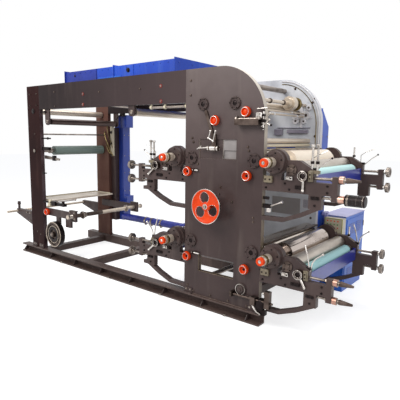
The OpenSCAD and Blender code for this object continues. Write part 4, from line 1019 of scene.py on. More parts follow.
def dress_shaft_ends():
    """Orange cap, cream sleeve and clamping ring on the operator end of each plate cylinder."""
    for n, (side, level) in STATIONS.items():
        x, z = side * PLATE_X, STATION_Z[level]
        body = f"plate_cylinder_{n}"
        Form().turn((x, -0.753, z), FRONT, [(0.015, 0.0222), (0.015, 0.0262), (0.031, 0.0262),
            (0.0345, 0.0235), (0.0352, 0), (0.0332, 0), (0.0332, 0.0222)], 36, True).done(f"orange_cap_{n}",
            ORANGE, body)
        sleeve = Form()
        sleeve.sleeve((x, -0.642, z), FRONT, 0.0378, 0.0396, 0.05, 36)
        sleeve.sleeve((x, -0.728, z), FRONT, 0.0378, 0.0392, 0.022, 36)
        sleeve.done(f"cream_sleeve_{n}", CREAM, body)
        Form().sleeve((x, -0.696, z), FRONT, 0.0378, 0.0418, 0.024, 36).done(f"clamping_ring_{n}", BRONZE,
            body)
        spots = [((x, -0.776, z), FRONT, 1.0)]
        HEX_BOLTS.grow(f"cap_bolt_{n}", spots, (0.008, 0.005, 0.0135), POLISHED, body)
        grub = [((x + 0.0412 * cos(a), -0.708, z + 0.0412 * sin(a)), (cos(a), 0, sin(a)), 1.0)
            for a in (0.6, 2.7, 4.8)]
        CAP_SCREWS.grow(f"grub_screws_{n}", grub, (0.005, 0.0022), BLACK_OXIDE, body)


def dress_journal_caps():
    """Dark domed caps on the operator ends of the anilox journals, each turning with its roller."""
    for n, (side, level) in STATIONS.items():
        foot = (side * ANILOX[0], -0.5868, STATION_Z[level] + ANILOX[1])
        Form().turn(foot, FRONT, [(0, 0), (0.0225, 0), (0.0225, 0.003), (0.019, 0.0065), (0.008, 0.009),
            (0, 0.0095)], 24).done(f"journal_cap_{n}", DARK_STEEL, f"anilox_roller_{n}")


def dress_tower_rings():
    """Dark end covers and screws of the bearing rings and housings on the operator side."""
    covers, screws, rims = Form(), [], Form()
    small = [(s * IMPRESSION_X, z, 0.0505, 0.0565) for s in (-1, 1) for z in STATION_Z]
    small += [(x, 1.886, 0.046, 0.0505) for x in (-0.21, 0.13)]
    for x, z, screw_r, rim_r in small:
        covers.turn((x, -OUTER_Y - 0.001, z), FRONT,
            [(0, 0), (0.0212, 0), (0.0212, 0.007), (0.017, 0.0098), (0, 0.0105)])
        screws += circle_spots((x, -OUTER_Y - 0.018, z), screw_r, 6, size=0.75)
        rims.ring((x, -OUTER_Y - 0.0172, z), FRONT, rim_r, 0.0012, 40, 6)
    for n, (side, level) in STATIONS.items():
        x, z = side * PLATE_X, STATION_Z[level]
        screws += circle_spots((x, -OUTER_Y - 0.045, z), 0.0745, 6, start=0.3)
        rims.ring((x, -OUTER_Y - 0.044, z), FRONT, 0.0885, 0.0016, 56, 6)
    rims.done("ring_rims", DARK_STEEL)
    covers.done("ring_covers", BLACK_OXIDE)
    CAP_SCREWS.grow("ring_screws", screws, (0.0065, 0.0055), BLACK_OXIDE)
    caps = Form()
    for y, out in ((-OUTER_Y, FRONT), (OUTER_Y, BACK)):
        caps.turn((POST_MID_X, y, 1.888), out, [(0, 0), (0.033, 0), (0.033, 0.004), (0.03, 0.006),
            (0.012, 0.007), (0, 0.009)])
    caps.done("post_bearing_caps", BLACK_OXIDE)


# ---------------------------------------------------------------- colour stations
def lever_tip(side, level):
    """Where the fountain's pressure lever ends, from the plate cylinder's axis, in x and z."""
    swing = radians(40 if side < 0 else (62 if level == 0 else 90))
    reach = 0.034 + (1.35 if side < 0 else 1.0) * 0.08
    return (FOUNTAIN[0] + reach * cos(swing), FOUNTAIN[1] - reach * sin(swing))


def dress_station(n):
    """Flanges, clamp blocks, levers, screws and nuts of one colour station."""
    side, level = STATIONS[n]
    base = STATION_Z[level]

    def at(x, y, dz):
        return (side * x, y, base + dz)

    def face(x):
        return (side * x, 0, 0)

    flanges, silver, khaki, dark, rods = Form(), Form(), Form(), Form(), Form()
    # Flanged bearings of the anilox and fountain journals, on both sides of the frame
    flanges.sleeve(at(ANILOX[0], -OUTER_Y, ANILOX[1]), FRONT, 0.0235, 0.044, 0.01, 32)
    screws = circle_spots(at(ANILOX[0], -OUTER_Y - 0.01, ANILOX[1]), 0.0345, 4, size=0.8, start=0.78)
    silver.ring(at(FOUNTAIN[0], -OUTER_Y - 0.0375, FOUNTAIN[1]), FRONT, 0.0375, 0.0022, 40)
    silver.ring(at(FOUNTAIN[0], -OUTER_Y - 0.0325, FOUNTAIN[1]), FRONT, 0.026, 0.0015, 32)
    dark.turn(at(FOUNTAIN[0], -OUTER_Y - 0.0125, FOUNTAIN[1]), FRONT,
        [(0, 0), (0.0205, 0), (0.0205, 0.012), (0.014, 0.016), (0, 0.017)])
    tip = lever_tip(side, level)
    silver.ball(at(tip[0], -OUTER_Y - 0.014, tip[1]), 0.0135)
    start = [FOUNTAIN[k] + 0.36 * (tip[k] - FOUNTAIN[k]) for k in (0, 1)]
    silver.rod(at(start[0], -OUTER_Y - 0.014, start[1]), at(tip[0], -OUTER_Y - 0.014, tip[1]), 0.0108)
    # Bearing blocks on the inking plate: a khaki clamp beside the ring and a pale block under the shaft end
    khaki.block(at(0.818, -OUTER_Y, -0.135), at(0.856, -OUTER_Y - 0.018, -0.055), 0.003)
    khaki.block(at(0.83, -OUTER_Y - 0.018, -0.125), at(0.85, -OUTER_Y - 0.03, -0.065), 0.003)
    silver.block(at(0.632, -OUTER_Y, -0.136), at(0.69, -OUTER_Y - 0.022, -0.105), 0.003)
    silver.block(at(0.642, -OUTER_Y - 0.022, -0.13), at(0.668, -OUTER_Y - 0.034, -0.11), 0.003)
    screws += [(at(0.68, -OUTER_Y - 0.022, -0.12), FRONT, 0.9),
        (at(0.84, -OUTER_Y - 0.03, -0.11), FRONT, 0.8), (at(0.84, -OUTER_Y - 0.03, -0.08), FRONT, 0.8)]
    if side > 0:
        khaki.block(at(0.438, -OUTER_Y, -0.168), at(0.512, -OUTER_Y - 0.026, -0.112), 0.004)
        screws += [(at(0.455, -OUTER_Y - 0.026, -0.14), FRONT, 0.9),
            (at(0.495, -OUTER_Y - 0.026, -0.14), FRONT, 0.9)]
    # Levers that stand on the outer ends of both inking plates
    for y in (-SCREW_Y, SCREW_Y):
        if level == 0:
            rods.bent([at(0.852, y, -0.06), at(0.842, y, 0.0), at(0.83, y, 0.06), at(0.803, y, 0.142)],
                0.0062)
            rods.bent([at(0.858, y, -0.06), at(0.874, y, 0.01), at(0.9, y, 0.048), at(0.952, y, 0.088)],
                0.0055)
            silver.ball(at(0.954, y, 0.09), 0.011)
        else:
            rods.bent([at(0.83, y, -0.04), at(0.828, y, 0.036), at(0.868, y, 0.066), at(0.95, y, 0.1)],
                0.0036)
            rods.bent([at(0.856, y, -0.06), at(0.884, y, -0.034), at(0.93, y, 0.008), at(0.982, y, 0.046)],
                0.0042)
            dark.ball(at(0.984, y, 0.048), 0.0085)
        dark.block(at(0.822, y - 0.016, -0.052), at(0.868, y + 0.016, -0.03), 0.002)
    rods.rod(at(0.762, SCREW_Y, 0.012), at(0.762, SCREW_Y, 0.112), 0.0075)
    dark.sleeve(at(0.762, SCREW_Y, 0.018), UP, 0.007, 0.014, 0.018)
    khaki.block(at(0.585, SCREW_Y - 0.02, 0.0), at(0.628, SCREW_Y + 0.022, 0.062), 0.003)
    # Upright setting screws with round heads on the operator side of the upper right station
    if level == 1:
        for x, top in ((0.838, 0.146), (0.88, 0.15)):
            silver.rod(at(x, -SCREW_Y - 0.014, -0.09), at(x, -SCREW_Y - 0.014, top - 0.02), 0.0085)
            silver.turn(at(x, -SCREW_Y - 0.014, top - 0.02), UP,
                [(0, 0), (0.012, 0), (0.0155, 0.004), (0.0155, 0.016), (0.012, 0.02), (0, 0.021)])
            dark.sleeve(at(x, -SCREW_Y - 0.014, 0.0), UP, 0.008, 0.014, 0.022)
        khaki.block(at(0.822, -SCREW_Y - 0.03, -0.075), at(0.9, -SCREW_Y + 0.004, -0.048), 0.003)
    # Lock nuts and threads of the adjusting screws, clamp pads on the arms
    threads_long = [(at(INK_END_X + 0.003, y, SCREW_DZ[0]), face(1), 1.0) for y in (-SCREW_Y, SCREW_Y)]
    threads_short = [(at(LEG_X + 0.003, y, SCREW_DZ[1]), face(1), 1.0) for y in (-SCREW_Y, SCREW_Y)]
    thread = (0.0102, 0.0012, 0.0045)
    STACKED_RINGS.grow(f"upper_threads_{n}", threads_long, (*thread, 29), BRIGHT)
    STACKED_RINGS.grow(f"lower_threads_{n}", threads_short, (*thread, 15), BRIGHT)
    nuts = [(at(BLOCK_X, y, dz), face(-1), 1.0) for y in (-SCREW_Y, SCREW_Y) for dz in SCREW_DZ]
    if side < 0:
        nuts += [(at(ARM_END_X, y, dz), face(1), 1.0) for y in (-SCREW_Y, SCREW_Y) for dz in SCREW_DZ]
    HEX_BOLTS.grow(f"lock_nuts_{n}", nuts, (0.018, 0.011, 0.021), BRIGHT)
    for y, out in ((-OUTER_Y, FRONT), (OUTER_Y, BACK)):
        turn = -1 if y < 0 else 1
        dark.block(at(0.71, y, -0.2), at(0.79, y + turn * 0.012, -0.172), 0.003)
        dark.block(at(0.842, y, -0.27), at(0.91, y + turn * 0.01, -0.246), 0.003)
        screws += [(at(x, y + turn * 0.012, -0.186), out, 1.0) for x in (0.726, 0.774)]
        screws += [(at(x, y + turn * 0.01, -0.258), out, 1.0) for x in (0.858, 0.894)]
        screws += [(at(x, y, dz), out, 1.2) for x, dz in ((0.45, -0.165), (0.45, -0.21), (0.62, -0.165),
            (0.66, -0.21), (0.876, -0.315), (0.97, -0.16), (0.97, -0.21))]
    flanges.done(f"journal_flanges_{n}", DARK_STEEL, slot="machine_paint")
    silver.done(f"bright_fittings_{n}", POLISHED)
    khaki.done(f"clamp_blocks_{n}", KHAKI)
    dark.done(f"dark_fittings_{n}", BLACK_OXIDE)
    rods.done(f"throw_levers_{n}", POLISHED)
    CAP_SCREWS.grow(f"station_screws_{n}", screws, (0.0072, 0.006), BLACK_OXIDE)


def on_grip(out):
    """A place on the axis of the black grip of the upper right station."""
    return (ARM_END_X + out, -SCREW_Y, STATION_Z[1] + SCREW_DZ[1])


def dress_screw_ends():
    """Knurled rims, faces and collars of the screws' knobs, and the handles on the right hand arms."""
    ribs, discs, collars, handles, salmon = [], Form(), Form(), Form(), Form()
    for n, (side, level) in STATIONS.items():
        base = STATION_Z[level]
        for y in (-SCREW_Y, SCREW_Y):
            for dz in SCREW_DZ:
                out = ARM_END_X + (0.105 if side < 0 else 0.015)
                if side > 0 and y < 0:
                    continue
                ribs.append(((side * (out + 0.0255), y, base + dz), (side, 0, 0), 1.0))
                discs.turn((side * (out + 0.0405), y, base + dz), (side, 0, 0),
                    [(0, 0), (0.03, 0), (0.03, 0.0022), (0.027, 0.0034), (0.012, 0.0034), (0.009, 0.0016),
                    (0, 0.0016)])
                collars.sleeve((side * (out - 0.012), y, base + dz), (side, 0, 0), 0.0098, 0.0185, 0.014)
        if side > 0:
            for dz in SCREW_DZ:
                if level == 1 and dz == SCREW_DZ[1]:
                    continue
                foot = (ARM_END_X, -SCREW_Y, base + dz)
                salmon.sleeve((foot[0] + 0.004, foot[1], foot[2]), ALONG, 0.0276, 0.0292, 0.034, 32)
                collars.ring((foot[0] + 0.009, foot[1], foot[2]), ALONG, 0.0275, 0.0018, 32, 6)
                collars.ring((foot[0] + 0.031, foot[1], foot[2]), ALONG, 0.0275, 0.0018, 32, 6)
                handles.turn((foot[0] + 0.052, foot[1], foot[2]), ALONG,
                    [(0, 0), (0.0188, 0), (0.0218, 0.006), (0.0212, 0.012), (0.0158, 0.06), (0.0108, 0.096),
                    (0.0098, 0.1035), (0.006, 0.1065), (0, 0.107)], 24)
    RIB_CROWNS.grow("screw_knob_knurls", ribs, (0.0448, 0.0028, 0.026, 48), BRIGHT)
    discs.done("screw_knob_faces", DARK_STEEL)
    collars.done("screw_collars", POLISHED)
    handles.done("tapered_handles", DARK_STEEL)
    salmon.sleeve(on_grip(0.004), ALONG, 0.0276, 0.0292, 0.046, 32)
    salmon.done("handle_collars", SALMON)
    grip = on_grip(0.064)
    STACKED_RINGS.grow("grip_rings", [(grip, ALONG, 1.0)], (0.0405, 0.0034, 0.0095, 13), BLACK_PLASTIC)
    shell = Form()
    shell.sleeve(on_grip(0.062), ALONG, 0.0385, 0.0418, 0.13, 36)
    shell.sleeve(on_grip(0.056), ALONG, 0.0395, 0.0432, 0.012, 36)
    shell.turn(on_grip(0.19), ALONG, [(0, 0), (0.0432, 0), (0.0436, 0.004), (0.038, 0.0105), (0.02, 0.0122),
        (0, 0.0122)], 36)
    shell.done("grip_ends", BLACK_OXIDE)


# ---------------------------------------------------------------- tower windows, rollers and rear plate
def dress_windows():
    """Grey cover behind the upper window, with the air cylinder's joints and the pins of the guide plates."""
    rod_y, cylinder_y, pin_y = -0.612, -0.611, -0.593
    cover = Form()
    cover.slab(rect(0.004, 1.486, 0.152, 1.581), "xz", -0.562, -0.558)
    cover.slab(rect(0.004, 1.408, 0.152, 1.488), "xz", -0.55, -0.546)
    cover.done("window_cover", WINDOW_GREY)
    Form().slab(rect(-0.252, 1.408, 0.006, 1.582), "xz", -0.566, -0.562).done("window_sheet", TOWER_PAINT)
    lips = Form()
    for (x0, x1), (z0, z1) in (((-0.25, 0.15), (1.41, 1.58)), ((-0.25, 0.15), (0.35, 0.507))):
        lips.block((x0, -0.56, z0), (x1, -0.54, z0 + 0.003), 0.001)
        lips.block((x0, -0.56, z0), (x0 + 0.003, -0.54, z1), 0.001)
    lips.done("window_lips", DARK_STEEL, slot="machine_paint")
    bright, dark = Form(), Form()
    for x, z, r in ((-0.122, 1.591, 0.013), (-0.072, 1.565, 0.012), (-0.102, 1.652, 0.01),
            (-0.048, 1.652, 0.01)):
        bright.ball((x, rod_y, z), r)
    bright.rods(rod_y, [(-0.122, 1.591, -0.072, 1.565, 0.0055), (-0.102, 1.652, -0.122, 1.591, 0.0055),
        (-0.048, 1.652, -0.072, 1.565, 0.0055)])
    bright.rods(cylinder_y, [(-0.236, 1.499, -0.127, 1.508, 0.0065), (-0.252, 1.49, -0.2, 1.522, 0.005)])
    bright.sleeve((-0.124, cylinder_y, 1.502), ALONG, 0.0215, 0.0236, 0.011)
    bright.sleeve((-0.028, cylinder_y, 1.502), ALONG, 0.0215, 0.0236, 0.014)
    bright.sleeve((-0.1, cylinder_y, 1.502), ALONG, 0.0216, 0.0228, 0.06)
    for x0, x1, z in ((-0.316, -0.226, 0.521), (-0.316, -0.25, 1.298)):
        bright.rod((x0, pin_y, z), (x1, pin_y, z), 0.008)
        dark.sleeve((x0 + 0.012, pin_y, z), ALONG, 0.0078, 0.014, 0.012)
        dark.block((x0 + 0.03, -0.595, z - 0.009), (x1 - 0.012, -0.575, z + 0.009), 0.002)
    bright.done("air_cylinder_fittings", POLISHED)
    dark.done("air_cylinder_clamps", BLACK_OXIDE)
    boss = Form()
    boss.turn((0.238, -0.578, 0.284), FRONT, [(0, 0), (0.03, 0), (0.03, 0.012), (0.024, 0.018),
        (0.01, 0.0195), (0, 0.0195)])
    boss.ring((0.238, -0.5925, 0.284), FRONT, 0.047, 0.0035, 40)
    boss.bent([(0.364, -0.605, 0.24), (0.372, -0.612, 0.2), (0.392, -0.616, 0.165), (0.425, -0.616, 0.135),
        (0.46, -0.612, 0.12)], 0.0065)
    boss.bent([(0.48, -0.6, 0.305), (0.512, -0.606, 0.292), (0.524, -0.61, 0.255), (0.518, -0.61, 0.215),
        (0.502, -0.606, 0.175)], 0.0065)
    boss.ball((0.36, -0.604, 0.246), 0.013)
    boss.ball((0.48, -0.6, 0.307), 0.013)
    boss.done("drain_pipes", POLISHED)
    pump = Form()
    pump.turn((0.452, -0.618, 0.204), BACK, [(0, 0), (0.036, 0), (0.044, 0.006), (0.048, 0.02),
        (0.048, 0.058), (0.04, 0.068), (0, 0.07)], 32)
    pump.block((0.412, -0.606, 0.11), (0.498, -0.56, 0.165), 0.005)
    pump.done("drain_pump", BLACK_OXIDE)
    ledge = Form()
    ledge.turn((0.182, -0.608, 1.75), (-1, 0, 0), [(0, 0), (0.024, 0), (0.0266, 0.004), (0.0266, 0.016),
        (0.022, 0.02), (0, 0.021)])
    ledge.rod((0.165, -0.608, 1.752), (0.395, -0.608, 1.752), 0.0105)
    ledge.rod((0.165, -0.63, 1.708), (0.395, -0.63, 1.708), 0.007)
    ledge.block((0.372, -0.64, 1.742), (0.402, -0.578, 1.768), 0.004)
    ledge.done("ledge_rods", BRIGHT)


def dress_edge_guide():
    """Web edge guide at the tower's rounded side: silver box, upright rod and slanting handles."""
    rod_y = -0.597
    bright, dark = Form(), Form()
    dark.block((0.416, -0.566, 1.028), (0.486, -0.534, 1.06), 0.003)
    dark.block((0.416, -0.56, 1.098), (0.468, -0.538, 1.122), 0.003)
    bright.rod((0.47, -0.55, 1.04), (0.593, -0.55, 1.091), 0.0075)
    bright.sleeve((0.58, -0.55, 1.0857), (0.926, 0, 0.378), 0.007, 0.0125, 0.014, 20)
    bright.block((0.455, -0.566, 0.992), (0.485, -0.54, 1.03), 0.003)
    bright.block((0.352, -0.612, 1.756), (0.404, -0.576, 1.802), 0.003)
    bright.block((0.362, -0.618, 1.7), (0.392, -0.58, 1.722), 0.003)
    bright.rods(rod_y, [(0.418, 1.662, 0.418, 1.822, 0.0065), (0.358, 1.832, 0.452, 1.836, 0.0052),
        (0.4, 1.69, 0.468, 1.742, 0.006), (0.404, 1.716, 0.474, 1.79, 0.0052),
        (0.392, 1.735, 0.488, 1.7, 0.0045)])
    bright.ball((0.47, rod_y, 1.744), 0.0095)
    bright.ball((0.476, rod_y, 1.792), 0.0085)
    dark.block((0.402, -0.612, 1.722), (0.436, -0.58, 1.748), 0.003)
    dark.block((0.404, -0.608, 1.77), (0.432, -0.584, 1.79), 0.003)
    dark.ball((0.488, rod_y, 1.7), 0.0095)
    for z in (1.668, 1.81):
        dark.sleeve((0.418, rod_y, z), UP, 0.006, 0.0115, 0.012)
    bright.done("edge_guide_rods", POLISHED)
    dark.done("edge_guide_clamps", BLACK_OXIDE)
    bolts = [((0.368, -0.612, 1.769), FRONT, 0.7), ((0.39, -0.612, 1.789), FRONT, 0.7)]
    CAP_SCREWS.grow("edge_guide_screws", bolts, (0.0065, 0.005), BLACK_OXIDE)


def dress_rear_plate():
    """Rim along the rounded corner, bearings, sheets, brackets and bolts on the inside of the rear plate."""
    y = FACE_Y
    corner = (TOWER_HALF - 0.45, FRAME_H - 0.45)
    path = [(corner[0], y - 0.004, FRAME_H - 0.018)]
    path += [(corner[0] + 0.432 * sin(a), y - 0.004, corner[1] + 0.432 * cos(a))
        for a in [radians(4.5 * k) for k in range(1, 20)]]
    path += [(TOWER_HALF - 0.018, y - 0.004, 1.72), (TOWER_HALF - 0.018, y - 0.004, 1.52)]
    Form().bent(path, 0.0085, 8).done("plate_rim", PALE_PAINT)
    Form().bent([(TOWER_HALF - 0.018 + (p[0] - TOWER_HALF + 0.018) * 0.93 - 0.03, p[1] + 0.001, p[2] - 0.03)
        for p in path], 0.0045, 6).done("plate_inner_line", BRONZE)
    pale, dark, olive = Form(), Form(), Form()
    for x, z, r, d in ((0.176, 1.85, 0.058, 0.02), (0.262, 1.83, 0.044, 0.026), (0.29, 1.905, 0.03, 0.03),
            (0.15, 1.776, 0.034, 0.024), (0.24, 1.77, 0.026, 0.032)):
        pale.turn((x, y, z), FRONT, [(0, 0), (r, 0), (r, d - 0.003), (r - 0.003, d), (0.4 * r, d),
            (0.38 * r, d - 0.006), (0, d - 0.006)], 32)
        dark.turn((x, y - d + 0.006, z), FRONT, [(0, 0), (0.36 * r, 0), (0.34 * r, 0.002), (0.22 * r, 0.009),
            (0, 0.01)])
    pale.pads(y, [(0.1, 1.795, 0.322, 1.812, 0.014, 0.002), (0.196, 1.7, 0.222, 1.95, 0.016, 0.002)])
    grey = Form()
    grey.pads(y, [(0.06, 1.648, 0.29, 1.684, 0.034, 0.003), (-0.06, 1.7, 0.31, 1.707, 0.02, 0.002),
        (-0.09, 1.625, 0.0, 1.69, 0.03, 0.004)])
    grey.done("grey_bands", LAVENDER_GREY)
    dark.pads(y, [(-0.027, 1.55, 0.205, 1.588, 0.02, 0.003), (-0.07, 1.466, 0.07, 1.498, 0.02, 0.003),
        (0.13, 1.466, 0.22, 1.498, 0.02, 0.003)])
    olive.turn((SHAFT_X, 0.3, SHAFT_Z), BACK, [(0.0165, 0), (0.058, 0), (0.064, 0.004), (0.064, 0.02),
        (0.058, 0.024), (0.0165, 0.024)], 36, True)
    pale.turn((SHAFT_X, 0.238, SHAFT_Z), BACK, [(0.0165, 0), (0.04, 0), (0.046, 0.004), (0.046, 0.026),
        (0.04, 0.03), (0.0165, 0.03)], 32, True)
    for yy in (-0.36, -0.2, 0.05, 0.4):
        dark.sleeve((SHAFT_X, yy, SHAFT_Z), BACK, 0.0162, 0.023, 0.018, 20)
    for z, yy in ((1.844, -0.3), (1.844, 0.22), (1.814, -0.12), (1.814, 0.34)):
        pale.sleeve((0.238, yy, z), BACK, 0.0082, 0.0135, 0.02, 16)
    pale.done("pale_bearings", PALE_PAINT)
    dark.done("bearing_centres", DARK_STEEL)
    olive.done("olive_brackets", BRONZE)
    cream = Form()
    cream.block((-0.05, 0.36, 1.545), (0.005, 0.42, 1.59), 0.003)
    cream.rod((-0.06, 0.39, 1.56), (0.31, 0.39, 1.56), 0.007)
    cream.rod((0.3, -0.525, 1.531), (0.3, 0.525, 1.531), 0.0145)
    cream.done("cream_web_stop", CREAM_PAINT)
    Form().slab(rect(-0.094, 0.79, 0.238, 0.97), "xz", y, y - 0.006).done("grey_sheets", WINDOW_GREY)
    Form().slab(rect(0.262, 0.874, 0.368, 0.974), "xz", y, y - 0.004).done("perforated_back", PALE_PAINT)
    PAD_GRIDS.grow("perforated_square", [((0.315, y - 0.0045, 0.924), FRONT, 1.0)],
        (0.0096, 0.0096, 9, 9, 0.0066, 0.0066, 0.002), LAVENDER_GREY)
    seen = [(0.33, 1.99), (0.318, 1.956), (0.12, 2.1), (-0.1, 2.1), (-0.3, 2.1), (0.36, 1.62), (0.36, 1.18),
        (0.36, 0.78), (0.15, 1.3), (-0.1, 1.3), (-0.3, 1.3), (0.2, 0.24), (-0.2, 0.24)]
    HEX_BOLTS.grow("inner_plate_bolts", wall_spots(seen, y, FRONT) + wall_spots(seen[2:], -y, BACK),
        (0.01, 0.0065, 0.013), DARK_STEEL)


# ---------------------------------------------------------------- infeed bay and unwind
def dress_infeed():
    """Roller collars, clamp blocks, brackets and levers around the infeed and the unwind."""
    bar_y = -0.548
    bright, dark, cream = Form(), Form(), Form()
    for x, z in ((-2.699, 1.758), (-1.168, 1.84)):
        for side in (-1, 1):
            dark.sleeve((x, side * 0.515, z), (0, -side, 0), 0.009, 0.026, 0.03, 24)
            bright.sleeve((x, side * 0.56, z), (0, side, 0), 0.009, 0.02, 0.006, 24)
    for side in (-1, 1):
        dark.sleeve((POST_MID_X, side * 0.5, 1.385), (0, side, 0), 0.0362, 0.05, 0.022, 32)
        bright.sleeve((POST_MID_X, side * 0.5, 1.888), (0, side, 0), 0.012, 0.04, 0.02, 28)
    bright.rod((-0.9, bar_y, 1.878), (-0.42, bar_y, 1.878), 0.0135)
    for x in (-0.885, -0.43, -0.7):
        cream.sleeve((x - 0.012, bar_y, 1.878), ALONG, 0.0132, 0.019, 0.024, 20)
        cream.block((x - 0.01, -0.556, 1.886), (x + 0.01, -0.54, 1.908), 0.002)
    bright.slab([(-2.844, 1.288), (-2.53, 1.276), (-2.52, 1.302), (-2.844, 1.332)], "xz", -0.524, -0.508)
    dark.block((-2.66, -0.534, 1.27), (-2.61, -0.5, 1.335), 0.003)
    dark.block((-2.644, -0.585, 0.706), (-2.56, -0.525, 0.762), 0.004)
    dark.block((-2.524, -0.58, 0.714), (-2.378, -0.53, 0.748), 0.004)
    dark.rod((-2.98, -0.558, 0.738), (-2.378, -0.558, 0.738), 0.012)
    dark.ball((-2.42, -0.556, 0.76), 0.02)
    cream.block((-2.72, -0.588, 0.69), (-2.668, -0.535, 0.735), 0.005)
    cream.ball((-2.7, -0.56, 0.748), 0.018)
    bright.rod((-2.56, -0.558, 0.752), (-2.19, -0.54, 0.822), 0.0075)
    bright.ball((-2.19, -0.54, 0.822), 0.014)
    cream.block((-2.76, 0.49, 1.3), (-2.71, 0.525, 1.8), 0.003)
    for z in (1.32, 1.48, 1.64, 1.78):
        dark.sleeve((-2.735, 0.49, z), FRONT, 0.006, 0.018, 0.014, 20)
    for side in (-1, 1):
        cream.rod((-3.14, side * 0.49, 0.75), (-2.78, side * 0.49, 0.75), 0.009)
    cream.rod((-3.13, -0.5, 0.752), (-3.13, 0.5, 0.752), 0.008)
    bright.done("infeed_rods", BRIGHT)
    dark.done("infeed_clamps", BLACK_OXIDE)
    cream.done("infeed_lumps", CREAM_PAINT)
    fittings, pipes = Form(), Form()
    for z0, z1, end in ((1.866, 1.88, -2.7), (1.54, 1.557, -2.662), (1.402, 1.44, -2.66),
            (1.1, 1.112, -2.78)):
        fittings.block((POST_INNER_X, -0.56, z0), (end, -0.538, z1), 0.002)
        fittings.sleeve((end - 0.03, -0.56, (z0 + z1) / 2), FRONT, 0.004, 0.016, 0.012, 20)
    fittings.block((-2.55, 0.488, 1.862), (-2.47, 0.525, 1.906), 0.003)
    fittings.rod((-2.52, 0.49, 1.9), (-2.6, 0.46, 1.81), 0.008)
    fittings.done("post_brackets", BLACK_OXIDE)
    pipes.bent([(-2.92, 0.524, 1.65), (-2.9, 0.5, 1.63), (-2.86, 0.49, 1.54), (-2.8, 0.48, 1.47),
        (-2.76, 0.484, 1.38), (-2.7, 0.49, 1.3)], 0.009)
    pipes.bent([(-2.86, 0.524, 1.74), (-2.84, 0.5, 1.7), (-2.8, 0.486, 1.62), (-2.75, 0.48, 1.52),
        (-2.71, 0.484, 1.42)], 0.007)
    pipes.bent([(-2.9, 0.524, 1.46), (-2.86, 0.5, 1.44), (-2.8, 0.49, 1.36), (-2.74, 0.486, 1.32)], 0.007)
    pipes.done("olive_pipes", BRONZE)
    arms = Form()
    for side in (-1, 1):
        y = side * FACE_Y
        arms.block((-2.349, y, 0.66), (-2.219, y - side * 0.04, 0.672), 0.003)
        arms.block((-2.33, y, 0.548), (-2.24, y - side * 0.04, 0.56), 0.003)
    arms.done("arm_straps", DARK_STEEL)
    spots = [((x, side * FACE_Y, z), (0, side, 0), 1.0) for side in (-1, 1)
        for x, z in ((-2.33, 0.645), (-2.238, 0.645), (-2.33, 0.575), (-2.238, 0.575))]
    spots += [((x, side * OUTER_Y, z), (0, side, 0), 1.0) for side in (-1, 1)
        for x, z in ((-3.165, 0.545), (-3.165, 0.44), (-3.24, 0.545))]
    HEX_BOLTS.grow("arm_bolts", spots, (0.011, 0.008, 0.0145), BRIGHT)
    threads = [((UNWIND_X, -0.53, UNWIND_Z), FRONT, 1.0)]
    STACKED_RINGS.grow("unwind_threads", threads, (0.0242, 0.0012, 0.0048, 12), POLISHED, "unwind_shaft")
    ends = Form()
    for side, end in ((-1, -0.595), (1, 0.635)):
        ends.sleeve((UNWIND_X, end, UNWIND_Z), (0, -side, 0), 0.0238, 0.031, 0.022, 28)
    ends.sleeve((UNWIND_X, -0.36, UNWIND_Z), FRONT, 0.0238, 0.046, 0.02, 32)
    ends.sleeve((UNWIND_X, 0.34, UNWIND_Z), BACK, 0.0238, 0.046, 0.02, 32)
    ends.sleeve((UNWIND_X, -0.34, UNWIND_Z), BACK, 0.0238, 0.035, 0.012, 28)
    ends.sleeve((UNWIND_X, 0.34, UNWIND_Z), FRONT, 0.0238, 0.035, 0.012, 28)
    ends.done("unwind_collars", BRIGHT, "unwind_shaft")
    Form().sleeve((UNWIND_X, -0.488, UNWIND_Z), BACK, 0.0238, 0.0262, 0.42, 28).done("unwind_cover",
        DARK_STEEL, "unwind_shaft")
    grub = [((UNWIND_X + 0.046 * cos(a), y, UNWIND_Z + 0.046 * sin(a)), (cos(a), 0, sin(a)), 1.0)
        for a in (0.9, 3.0, 5.1) for y in (-0.37, 0.35)]
    CAP_SCREWS.grow("unwind_grub_screws", grub, (0.0055, 0.003), BLACK_OXIDE, "unwind_shaft")


def dress_tension_wheel():
    """Cream brown rim, brake band and hub nut of the web tension wheel."""
    x, z, face_y = -2.594, 0.34, -0.5985
    band = Form()
    band.sleeve((x, -0.537, z), FRONT, 0.1605, 0.1635, 0.06, 64)
    band.sleeve((x, face_y, z), FRONT, 0.06, 0.1, 0.002, 48)
    band.done("tension_band", BLACK_OXIDE, "tension_wheel")
    rim = Form()
    rim.ring((x, face_y, z), FRONT, 0.156, 0.004, 64)
    rim.ring((x, face_y, z), FRONT, 0.108, 0.003, 56)
    rim.done("tension_rim", CREAM, "tension_wheel")
    HEX_BOLTS.grow("tension_nut", [((x, -0.6185, z), FRONT, 1.0)], (0.017, 0.01, 0.021), BRIGHT,
        "tension_wheel")
    CAP_SCREWS.grow("tension_screws", circle_spots((x, face_y, z), 0.132, 8), (0.008, 0.0055), BLACK_OXIDE,
        "tension_wheel")


